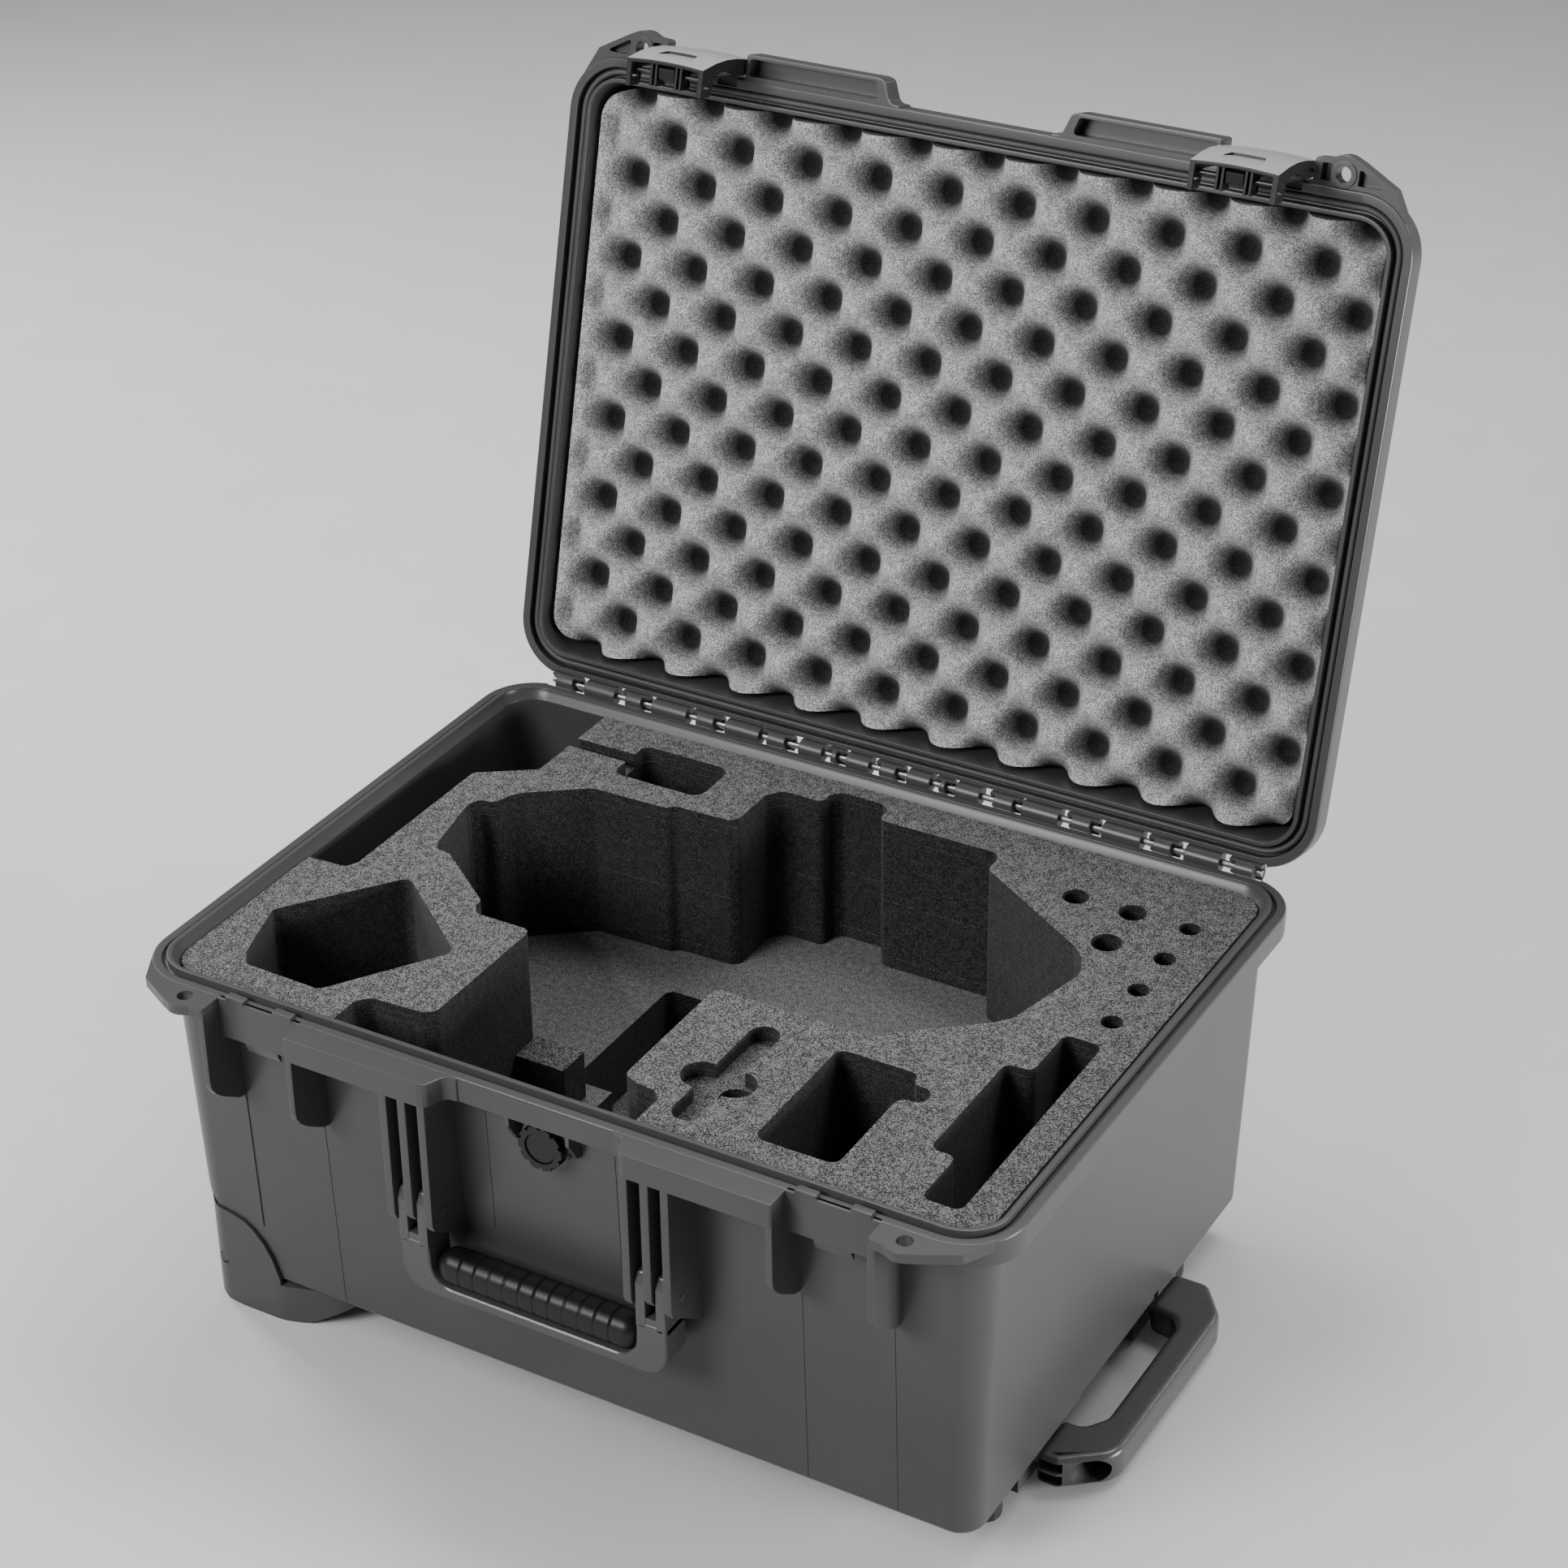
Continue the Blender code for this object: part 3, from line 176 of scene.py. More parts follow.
def foam_material(name, dark, light, grain, bump_depth):
    """Open-cell foam: light struts over dark pores, mixed at two sizes."""
    made = bpy.data.materials.new(name)
    made.use_nodes = True
    nodes, links = made.node_tree.nodes, made.node_tree.links
    shader = nodes["Principled BSDF"]
    shader.inputs["Roughness"].default_value = 0.95
    shader.inputs["Specular IOR Level"].default_value = 0.15
    shader.inputs["Sheen Weight"].default_value = 0.12
    coordinates = nodes.new("ShaderNodeTexCoord")
    pores = link_noise(nodes, links, coordinates, grain, 3.0)
    patches = link_noise(nodes, links, coordinates, grain / 5, 2.0)
    blend = nodes.new("ShaderNodeMath")
    blend.operation = "MULTIPLY_ADD"
    blend.inputs[1].default_value = 0.22
    links.new(patches.outputs["Fac"], blend.inputs[0])
    links.new(pores.outputs["Fac"], blend.inputs[2])
    ramp = nodes.new("ShaderNodeValToRGB")
    ramp.color_ramp.elements[0].position, ramp.color_ramp.elements[1].position = 0.55, 0.71
    ramp.color_ramp.elements[0].color = (dark, dark, dark * 1.02, 1)
    ramp.color_ramp.elements[1].color = (light, light, light * 1.02, 1)
    links.new(blend.outputs["Value"], ramp.inputs["Fac"])
    links.new(ramp.outputs["Color"], shader.inputs["Base Color"])
    bump = nodes.new("ShaderNodeBump")
    bump.inputs["Strength"].default_value = 0.7
    bump.inputs["Distance"].default_value = bump_depth
    links.new(pores.outputs["Fac"], bump.inputs["Height"])
    links.new(bump.outputs["Normal"], shader.inputs["Normal"])
    made.diffuse_color = (light, light, light, 1)
    return made


# ---------------------------------------------------------------- outline helpers
def mirrored(outline):
    """The outline on the other side of x = 0."""
    return [(-x, y) for x, y in reversed(outline)]


def arc(centre, radius, first, last, steps):
    """Points along an arc, angles in degrees."""
    angles = [math.radians(first + (last - first) * i / steps) for i in range(steps + 1)]
    return [(centre[0] + radius * math.cos(a), centre[1] + radius * math.sin(a)) for a in angles]


def circle(centre, radius, steps=32):
    """A closed polygon that stands for a circle."""
    return arc(centre, radius, 0, 360 * (steps - 1) / steps, steps - 1)


def rounded(corners, steps=5):
    """An outline from (x, y, radius) corners, each rounded by an arc."""
    points = []
    for index, (x, y, radius) in enumerate(corners):
        here = Vector((x, y))
        before = Vector(corners[index - 1][:2]) - here
        after = Vector(corners[(index + 1) % len(corners)][:2]) - here
        half_angle = before.angle(after) / 2
        radius = min(radius, 0.48 * min(before.length, after.length) * math.tan(half_angle))
        if radius < 0.05 or half_angle > math.radians(88):
            points.append((x, y))
            continue
        before.normalize()
        after.normalize()
        reach = radius / math.tan(half_angle)
        centre = here + (before + after).normalized() * radius / math.sin(half_angle)
        first, last = here + before * reach - centre, here + after * reach - centre
        turn = first.angle_signed(last)
        for step in range(steps + 1):
            points.append(tuple(centre + Matrix.Rotation(-turn * step / steps, 2) @ first))
    return points


def softened(outline, radius, steps=4):
    """The outline with the same small radius at every corner."""
    return rounded([(x, y, radius) for x, y in outline], steps)


def rounded_rectangle(half_x, half_y, radius, steps=CORNER_STEPS):
    """A centred rectangle with round corners."""
    points = []
    for index, (sx, sy) in enumerate(((1, 1), (-1, 1), (-1, -1), (1, -1))):
        centre = (sx * (half_x - radius), sy * (half_y - radius))
        points += arc(centre, radius, 90 * index, 90 * index + 90, steps)
    return points


def wall_depth(height):
    """Half depth of the base's outer wall at a height."""
    return WALL_HALF_WIDTH - DEPTH_OFFSET + WALL_DRAFT * height


def across(side, first, second):
    """A range in y, given by distances from the middle, on the front (-1) or rear (1) side."""
    return (-second, -first) if side < 0 else (first, second)


# ---------------------------------------------------------------- mesh helpers
AXIS_TURN = {"Z": Matrix.Identity(3), "X": Matrix(((0, 0, 1), (1, 0, 0), (0, 1, 0))),
             "Y": Matrix(((1, 0, 0), (0, 0, 1), (0, 1, 0)))}


def rounded_edges(bm, width, segments=2, over=32.0):
    """Bevel every edge that is sharper than an angle."""
    bmesh.ops.remove_doubles(bm, verts=bm.verts, dist=0.00001)
    bmesh.ops.recalc_face_normals(bm, faces=bm.faces)
    if width:
        sharp = [edge for edge in bm.edges
                 if len(edge.link_faces) == 2 and edge.calc_face_angle(0) > math.radians(over)]
        bmesh.ops.bevel(bm, geom=sharp, offset=width * MM, segments=segments, profile=0.6,
                        affect="EDGES", clamp_overlap=True)
    return bm


def solid(outlines, low, high, along="Z", bevel=0.8, segments=2):
    """Closed outlines, the later ones holes, extruded along an axis, with rounded edges."""
    if isinstance(outlines[0][0], (int, float)):
        outlines = [outlines]
    curve = bpy.data.curves.new("outline", "CURVE")
    curve.dimensions = "2D"
    curve.fill_mode = "BOTH"
    curve.extrude = (high - low) / 2 * MM
    for outline in outlines:
        spline = curve.splines.new("POLY")
        spline.points.add(len(outline) - 1)
        for point, (u, v) in zip(spline.points, outline):
            point.co = (u * MM, v * MM, 0, 1)
        spline.use_cyclic_u = True
    holder = bpy.data.objects.new("outline", curve)
    mesh = bpy.data.meshes.new_from_object(holder)
    bpy.data.objects.remove(holder)
    bpy.data.curves.remove(curve)
    bm = bmesh.new()
    bm.from_mesh(mesh)
    bpy.data.meshes.remove(mesh)
    middle = Vector((0, 0, (low + high) / 2 * MM))
    for vert in bm.verts:
        vert.co = AXIS_TURN[along] @ (vert.co + middle)
    bmesh.ops.remove_doubles(bm, verts=bm.verts, dist=0.00001)
    if len(outlines) == 1:
        bmesh.ops.dissolve_limit(bm, angle_limit=math.radians(0.5), verts=bm.verts, edges=bm.edges)
    return rounded_edges(bm, bevel, segments)


def block(x_range, y_range, z_range, bevel=0.8, segments=2):
    """A box between limits on each axis, with rounded edges."""
    bm = bmesh.new()
    bmesh.ops.create_cube(bm, size=1.0)
    for vert in bm.verts:
        for axis, (low, high) in enumerate((x_range, y_range, z_range)):
            vert.co[axis] = (low if vert.co[axis] < 0 else high) * MM
    return rounded_edges(bm, bevel, segments)


def rod(centre, radius, low, high, along="X", steps=32, bevel=0.4):
    """A cylinder along an axis, with rounded ends."""
    return solid(circle(centre, radius, steps), low, high, along, bevel)


def loft(rings, closed_ends=True):
    """A body through rings of equal point count; each ring is a list of (x, y, z)."""
    bm = bmesh.new()
    loops = [[bm.verts.new(Vector(point) * MM) for point in ring] for ring in rings]
    count = len(loops[0])
    for lower, upper in zip(loops, loops[1:]):
        for index in range(count):
            following = (index + 1) % count
            bm.faces.new((lower[index], lower[following], upper[following], upper[index]))
    if closed_ends:
        bm.faces.new(reversed(loops[0]))
        bm.faces.new(loops[-1])
    bmesh.ops.recalc_face_normals(bm, faces=bm.faces)
    return bm


def joined(parts):
    """Several bmeshes as one."""
    whole = bmesh.new()
    for bm in parts:
        mesh = bpy.data.meshes.new("joining")
        bm.to_mesh(mesh)
        bm.free()
        whole.from_mesh(mesh)
        bpy.data.meshes.remove(mesh)
    return whole


def store(name, bm, material, placing, smooth=35.0):
    """The bmesh as an object in the shared frame, smooth shaded between its sharp edges."""
    mesh = bpy.data.meshes.new(name)
    bm.transform(placing)
    bm.to_mesh(mesh)
    bm.free()
    mesh.materials.append(material)
    made = bpy.data.objects.new(name, mesh)
    bpy.context.scene.collection.objects.link(made)
    if smooth:
        mesh.shade_smooth()
        mesh.set_sharp_from_angle(angle=math.radians(smooth))
        weighted = made.modifiers.new("flat_faces", "WEIGHTED_NORMAL")
        weighted.keep_sharp = True
    return made


def combine(target, bm, placing, operation, overlapping=False):
    """Combine an object with a tool bmesh and apply the result to its mesh."""
    tool = store(target.name + "_tool", bm, target.data.materials[0], placing, 0)
    modifier = target.modifiers.new("shape", "BOOLEAN")
    modifier.operation = operation
    modifier.solver = "EXACT"
    modifier.use_self = overlapping
    modifier.object = tool
    with bpy.context.temp_override(object=target):
        bpy.ops.object.modifier_move_to_index(modifier="shape", index=0)
        bpy.ops.object.modifier_apply(modifier="shape")
    bpy.data.objects.remove(tool)


def cut(target, tools, placing):
    """Cut tool bmeshes, which may overlap each other, out of an object."""
    combine(target, joined(tools), placing, "DIFFERENCE", True)
    target.data.set_sharp_from_angle(angle=math.radians(35))


def attach(made, body, slot_name, *nodes):
    """The piece rides on a body and may stand for CAD nodes."""
    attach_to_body(made, body)
    if nodes:
        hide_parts(*nodes)
    return made


SHELL = node_material("shell_plastic", 0.052, 0.31, mottle=0.05, grain=(1500, 0.07), specular=0.38)
FITTING = node_material("fitting_plastic", 0.055, 0.28, mottle=0.05, grain=(1200, 0.05))
# light grey latch plastic, raised above its own grey to paint in the highlight its outward faces catch
LATCH_GREY_AND_PAINTED_SHEEN = node_material("latch_plastic", 0.34, 0.26, mottle=0.05, grain=(900, 0.06),
                         specular=0.7, coat=0.3)
# near-black: painted shade for the latch's inner faces, ribs and claw, where the light does not reach
LATCH_PAINTED_SHADE = node_material("latch_inside_painted_shade", 0.010, 0.40, specular=0.3)
RUBBER = node_material("rubber", 0.007, 0.40, mottle=0.05, grain=(700, 0.06), specular=0.32)
TYRE = node_material("tyre", 0.016, 0.7, grain=(500, 0.2))
GASKET = node_material("gasket", 0.05, 0.55, grain=(600, 0.2))
STEEL = node_material("steel", 0.38, 0.34, mottle=0.05, grain=(1500, 0.03), metallic=1.0)
DARK_STEEL = node_material("dark_steel", 0.05, 0.35, mottle=0.05, grain=(1500, 0.03), metallic=0.7)
ALUMINIUM = node_material("aluminium", 0.66, 0.35, mottle=0.04, grain=(1500, 0.03), metallic=1.0)
BASE_FOAM = foam_material("base_foam", 0.009, 0.175, 1300, 0.0006)
# a darker copy of the same foam colour: painted shade for the upright faces of the foam sheets, which get
# less light than the flat tops
UPRIGHT_FOAM_PAINTED_SHADE = foam_material("upright_foam_painted_shade", 0.005, 0.040, 1200, 0.0010)
# a lighter copy of the same foam colour: painted light on the pocket floor, which faces the lights from
# above
FLOOR_FOAM_PAINTED_LIGHT = foam_material("floor_foam_painted_light", 0.05, 0.23, 1300, 0.0004)

make_camera()
make_studio()

# ---------------------------------------------------------------- shells
BASE_SECTION = [(243.5, BODY_BOTTOM), (246.5, -205.8), (248.6, -204.6), (249.8, -203.0), (256.7, -4.0),
                (266.3, -4.0), (266.5, -15.0), (268.9, -15.0), (269.0, -1.2), (268.3, 0.0),
                (263.4, 0.0), (263.0, -2.2), (260.8, -2.2), (260.4, 2.35), (257.6, 2.35),
                (256.7, -0.7), (253.5, -4.0), (247.0, -200.0), (243.5, FLOOR_TOP)]
LID_SECTION = [(240.0, LID_TOP), (247.5, 53.2), (250.4, 51.9), (252.6, 49.8), (254.2, 47.0),
               (256.4, 10.8), (266.3, 10.8), (266.6, 15.5), (268.9, 15.5), (269.0, 1.7),
               (268.3, LID_RIM), (263.3, LID_RIM), (263.3, 7.4), (257.0, 7.4), (256.6, LID_RIM),
               (254.2, LID_RIM), (253.5, 3.0), (252.2, 44.0), (250.0, 48.5), (245.0, LID_CEILING)]
BLOCK_PLAN = rounded([(48.0, -189.2, 0), (48.0, -194.0, 1), (54.5, -194.4, 6), (59.5, -207.0, 6),
                      (64.0, -208.0, 3), (150.8, -208.0, 1.6), (150.8, -189.2, 0)])
BLOCK_POCKET = [(61.0, -195.5), (64.5, -205.6), (148.6, -205.6), (148.6, -195.5)]
PADLOCK = (222.4, -200.2)
EAR_PLAN = [(205.3, -189.2), (205.3, -207.5), (214.0, -208.0), *arc(PADLOCK, 10.6, 240, 300, 6),
            (232.0, -207.5), (252.6, -196.5), (262.5, -178.5), (259.5, -176.5), (248.5, -185.8),
            (236.0, -189.2)]
GROOVE_WIDTH, GROOVE_DEPTH = 0.6, 0.35
WALL_GROOVES = ((-151.5, -76, -204), (151.5, -76, -204), (205.7, -76, -204),
                (-40.6, -16, -106), (40.6, -16, -106))    # x, top and bottom of each
KNUCKLE_WINDOW = 4.0
CATCH_X = ((156.0, 168.5), (188.0, 200.0))
SHORT_RIB_X = ((147.0, 151.0), (205.0, 209.0))
OUTER_BRACKET_X, MIDDLE_BRACKET_X = ((60.3, 65.3), (85.0, 90.0)), ((72.7, 78.0),)
LID_KNUCKLES = ((20.7, 15.5), (53.5, 16.0), (101.5, 24.0), (154.0, 25.0), (205.0, 22.0))
BASE_KNUCKLES = ((0.0, 18.0), (37.0, 11.0), (77.5, 20.0), (128.0, 20.0), (180.0, 19.0), (231.0, 20.0))
HOUSING_TOP = [(-247.0, -156.0), (-239.0, -164.5), (-229.0, -166.0), (-219.5, -168.5),
               (-213.0, -173.0), (-206.0, -181.0), (-201.0, -190.0), (-197.0, -203.0)]


def shell_of(section):
    """The wall section carried round the case's plan, its edges rounded."""
    rings = []
    for half, z in section:
        outline = rounded_rectangle(half, half - DEPTH_OFFSET, half - CORNER_CENTRE)
        rings.append([(x, y, z) for x, y in outline])
    return rounded_edges(loft(rings), 0.45)


def two_sides(outline, low, high, bevel=0.8):
    """The same plan outline, right and left."""
    return [solid(outline, low, high, "Z", bevel), solid(mirrored(outline), low, high, "Z", bevel)]


def ribs(profile, x_ranges, bevel=0.9):
    """Upright plates with a (y, z) profile, right and left."""
    made = []
    for low, high in x_ranges:
        made += [solid(profile, low, high, "X", bevel), solid(profile, -high, -low, "X", bevel)]
    return made


def knuckles(places, flip, window=0.0):
    """Hinge knuckles with their webs; a window beside the web shows the pin under a bridge."""
    outline = [(188.8, -4.3)] + arc((HINGE_Y, HINGE_Z), KNUCKLE_RADIUS, -90, 165, 24)
    outline += [(190.3, -0.3), (188.8, -0.3)]
    if flip:
        outline = [(y, 2 * HINGE_Z - z) for y, z in reversed(outline)]
    centre_line = (HINGE_Y, HINGE_Z)
    bridge = arc(centre_line, KNUCKLE_RADIUS, -80, 112, 18) + arc(centre_line, 3.2, 112, -80, 12)
    made = []
    for centre, width in places:
        for x in sorted({centre, -centre}):
            made.append(solid(outline, x - width / 2 + window, x + width / 2 - window, "X", 0.7))
            if window:
                made.append(solid(bridge, x - width / 2, x + width / 2, "X", 0.4))
    return made


def front_flange(low, high, ear_low, ear_high):
    """Handle blocks and padlock ears of one shell."""
    hole = circle(PADLOCK, 4.5, 28)
    parts = two_sides(BLOCK_PLAN, low, high, 1.0)
    parts += [solid([softened(EAR_PLAN, 2.0), hole], ear_low, ear_high, "Z", 0.7),
              solid([softened(mirrored(EAR_PLAN), 2.0), mirrored(hole)], ear_low, ear_high, "Z", 0.7)]
    return parts


def base_shell():
    """Tub, rim, catches, ribs, brackets and base knuckles."""
    shell = store("base_shell_fine", shell_of(BASE_SECTION), SHELL, RIM_FRAME)
    seat_edge = [(x + 0.9, z + 0.9) for x, z in HOUSING_TOP]
    seat = [(-262.0, seat_edge[0][1] + 2), *seat_edge, (-196.1, -215.0), (-262.0, -215.0)]
    corner = [seat[0], *seat_edge[:2], (-235.3, -165.4), (-235.3, -215.0), seat[-1]]
    tools = [block((-HINGE_HALF_LENGTH, HINGE_HALF_LENGTH), (HINGE_FLANGE_Y, 220), (-20, 5), 0),
             block((247.6, 262), (-45.5, 55.7), (-215, -197.6), 0)]
    for side in (-1, 1):
        tools += [solid(seat, *across(side, 173.2, 185.0), "Y", 0),
                  solid(corner, *across(side, 160.3, 185.0), "Y", 0),
                  block((-262.0, -201.5), across(side, 141.5, 168.5), (-215.0, -180.5), 0)]
    for x, top, end in WALL_GROOVES:
        groove = [(-wall_depth(top) - 1, top), (-wall_depth(end) - 1, end),
                  (-wall_depth(end) + GROOVE_DEPTH, end), (-wall_depth(top) + GROOVE_DEPTH, top)]
        tools.append(solid(groove, x - GROOVE_WIDTH / 2, x + GROOVE_WIDTH / 2, "X", 0))
    cut(shell, tools, RIM_FRAME)
    attach(shell, "base", "shell_plastic", "base_shell")

    wall_top, wall_low = -wall_depth(0) + 1.6, -wall_depth(-120) + 1.6
    short_rib = [(-207.4, -3), (-207.4, -48), (-206.5, -53.5), (-203, -58.5), (-198, -63),
                 (-190, -68.5), (-184, -72.5), (wall_low - 1.6, -74.0), (wall_top, -3)]
    bracket = [(-207.4, -3), (-207.4, -93), (-205.5, -97.5), (-201, -100.5), (wall_low, -119),
               (wall_top, -3)]
    middle = [(-207.4, -3), (-207.4, -90), (-204.5, -94.8), (-190, -97), (wall_low, -104),
              (wall_top, -3)]
    guard = [(-191.5, -3), (-191.5, -22), (-184, -34), (wall_top + 1, -36), (wall_top, -3)]
    step = [(-wall_depth(-72) - 0.7, -72), (-wall_depth(-168) - 0.7, -168),
            (-wall_depth(-168) + 1, -168), (-wall_depth(-72) + 1, -72)]
    parts = front_flange(-15, -0.15, -6, -0.15)
    parts += [solid(step, -206.6, -205.2, "X", 0.3)]
    for sign in (-1, 1):
        low, high = sorted((sign * 150.5, sign * 205.5))
        parts.append(block((low, high), (RECESS_FRONT, -189.8), (-25, 0), 0.7))
        tab = [(RECESS_FRONT, -23.5), (RECESS_FRONT - 0.1, -26.0), (-191.4, -31.2), (-190.6, -31.2),
               (-190.6, -23.5)]
        centre = sign * LATCH_X
        parts.append(solid(tab, centre - 11, centre + 11, "X", 0.5))
        for low, high in CATCH_X:
            low, high = sorted((sign * low, sign * high))
            parts.append(block((low, high), (RECESS_FRONT, -188.2), (-1, 2.5), 0.9))
    parts += ribs(short_rib, SHORT_RIB_X) + ribs(bracket, OUTER_BRACKET_X)
    parts += ribs(middle, MIDDLE_BRACKET_X) + ribs(guard, ((17.5, 20.0),), 0.6)
    parts += [block((-HINGE_HALF_LENGTH, HINGE_HALF_LENGTH), (187.4, 190.0), (-15, -1), 0.5)]
    parts += knuckles(BASE_KNUCKLES, False, KNUCKLE_WINDOW)
    attach(store("base_fittings_fine", joined(parts), SHELL, RIM_FRAME), "base", "shell_plastic")


def lid_shell():
    """Lid tub, hollow blocks, ears, latch recess and lid knuckles."""
    shell = store("lid_shell_fine", shell_of(LID_SECTION), SHELL, LID_FRAME)
    tools = [block((-HINGE_HALF_LENGTH, HINGE_HALF_LENGTH), (HINGE_FLANGE_Y, 220), (-5, 20), 0)]
    for low, high in CATCH_X:
        for first, last in ((low - 0.5, high + 0.5), (-high - 0.5, -low + 0.5)):
            tools.append(block((first, last), (-200.0, -187.7), (-1.0, 3.0), 0))
    cut(shell, tools, LID_FRAME)
    attach(shell, "lid", "shell_plastic", "lid_shell")
    parts = front_flange(LID_RIM + 0.15, 15.5, LID_RIM + 1.1, 10.5)
    ring = [circle(PADLOCK, 7.4, 32), circle(PADLOCK, 4.5, 28)]
    for outlines in (ring, [mirrored(outline) for outline in ring]):
        parts.append(solid(outlines, LID_RIM + 0.15, LID_RIM + 2.0, "Z", 0.5))
    blocks = store("lid_fittings_fine", joined(parts), SHELL, LID_FRAME)
    pocket = softened(BLOCK_POCKET, 2.2)
    square = softened([(209.5, -205.0), (215.5, -205.0), (215.5, -195.5), (209.5, -195.5)], 1.0)
    triangle = softened([(231.0, -204.6), (248.0, -195.4), (231.0, -195.4)], 1.0)
    tools = two_sides(pocket, -5, 11.5, 0) + two_sides(square, -5, 7, 0) + two_sides(triangle, -5, 7, 0)
    cut(blocks, tools, LID_FRAME)
    attach(blocks, "lid", "shell_plastic")
    parts = [block((-HINGE_HALF_LENGTH, HINGE_HALF_LENGTH), (187.4, 190.0), (LID_RIM + 1, 15.5), 0.5)]
    for low, high in ((150.5, 205.5), (-205.5, -150.5)):
        parts.append(block((low, high), (RECESS_FRONT, -189.8), (3.4, 15.5), 0.6))
    parts += knuckles(LID_KNUCKLES, True)
    attach(store("lid_hinge_fine", joined(parts), SHELL, LID_FRAME), "lid", "shell_plastic")


def gasket():
    """Round rubber seal in the lid's channel."""
    half, height, radius = 260.15, 5.0, 2.0
    rings = []
    for angle in range(0, 360, 30):
        reach = half + radius * math.cos(math.radians(angle))
        z = height + radius * math.sin(math.radians(angle))
        outline = rounded_rectangle(reach, reach - DEPTH_OFFSET, reach - CORNER_CENTRE)
        rings.append([(x, y, z) for x, y in outline])
    bm = loft(rings + rings[:1], closed_ends=False)
    bmesh.ops.remove_doubles(bm, verts=bm.verts, dist=0.00001)
    bmesh.ops.recalc_face_normals(bm, faces=bm.faces)
    attach(store("lid_gasket_fine", bm, GASKET, LID_FRAME), "lid", "rubber", "lid_gasket")


# ---------------------------------------------------------------- latches
def latch(side, label):
    """Bowed cover with cheeks, slotted inner ribs, claw and steel pins."""
    centre = side * LATCH_X
    placing = LID_FRAME @ Matrix.Translation((centre * MM, 0, 0))
    face = [(-202.2, 10.6), (-204.4, 7.0), (-205.3, -8.0), (-205.0, -20.0), (-203.4, -32.0),
            (-200.0, -46.0)]
    back = [(-197.6, -46.0), (-201.0, -32.0), (-202.6, -20.0), (-202.8, -8.0), (-202.0, 6.0),
            (-200.6, 8.6)]
    half, bow_height, cheek_width, barrel_radius, barrel_length = LATCH_HALF_WIDTH, 1.3, 3.0, 4.5, 8.0
    rings = []
    for step in range(13):
        x = -half + 2 * half * step / 12
        bow = bow_height * (1 - (x / half) ** 2)
        rings.append([(x, y - bow, z) for y, z in face + back])
    parts = [rounded_edges(loft(rings), 0.5)]
    barrel = arc(LATCH_PIVOT, barrel_radius, 0, 180, 14)
    cheek = [(-195.2, 0.0), *barrel, *face[2:], (-184.0, -46.0), (-184.4, -36.0), (-186.0, -34.4),
             (-194.8, -33.0)]
    slot_low = [(-198.0, -30.0), (-196.6, -30.0), (-196.6, -14.0), (-198.0, -14.0)]
    slot_end = [(-190.6, -44.0), (-189.2, -44.0), (-189.2, -37.0), (-190.6, -37.0)]
    cheek_outlines = [cheek, softened(slot_low, 0.6), softened(slot_end, 0.6)]
    for low in (-half, half - cheek_width):
        parts.append(solid(cheek_outlines, low, low + cheek_width, "X", 0.35))
    for low in (-half + 0.2, half - 0.2 - barrel_length):
        parts.append(rod(LATCH_PIVOT, barrel_radius, low, low + barrel_length, "X", 24, 0.5))
    # the cover takes the light latch colour with its painted highlight
    cover = store(f"latch_cover_{label}_fine", joined(parts), LATCH_GREY_AND_PAINTED_SHEEN, placing)
    panel = rounded([(-13.0, -38.5, 1.5), (13.0, -38.5, 1.5), (10.0, -27.0, 1.5), (-10.0, -27.0, 1.5)])
    cut(cover, [solid(panel, -212.0, -203.7, "Y", 0)], placing)
    # painted shade: faces not turned outwards take the near-black inside colour
    cover.data.materials.append(LATCH_PAINTED_SHADE)
    outward, painted_shade_limit = placing.to_3x3() @ Vector((0, -1, 0)), 0.45
    for polygon in cover.data.polygons:
        polygon.material_index = int(polygon.normal.dot(outward) < painted_shade_limit)
    attach(cover, f"latch_{label}", "latch_plastic", f"latch_body_{label}")

    rib = [(-186.0, -33.5), (-186.0, -44.2), (-201.0, -44.2), (-203.0, -33.5), (-203.5, -20),
           (-196.0, -20), (-195.0, -33.5)]
    plate_width, plate_pitch = 1.6, 3.0
    parts = []
    for low in (-10.6, 6.0):
        for shift in (0.0, plate_pitch):
            parts.append(solid(rib, low + shift, low + shift + plate_width, "X", 0.3))
        pair = (low, low + plate_pitch + plate_width)
        parts.append(block(pair, (-202.0, -187.5), (-37.0, -33.6), 0.3))
        parts.append(block(pair, (-201.5, -199.0), (-44.2, -36.0), 0.3))
    claw = [(-199.6, -16.0), (-197.0, -16.0), (-196.6, -32.0), (-188.0, -33.0), (-187.6, -35.0),
            (-190.5, -43.0), (-197.0, -44.0), (-199.3, -34.0)]
    parts.append(solid(softened(claw, 0.8, 2), -5.2, 5.2, "X", 0.5))
    # the inner ribs and claw take the same near-black painted shade
    inner = store(f"latch_claw_{label}_fine", joined(parts), LATCH_PAINTED_SHADE, placing)
    attach(inner, f"latch_{label}", "fitting_plastic", f"latch_claw_{label}")
    claw_pin = rod((-193.5, -39.5), 1.5, -half - 0.4, half + 0.4, "X", 16, 0.3)
    pin = store(f"latch_claw_pin_{label}_fine", claw_pin, DARK_STEEL, placing)
    attach(pin, f"latch_{label}", "steel", f"latch_claw_pin_{label}")


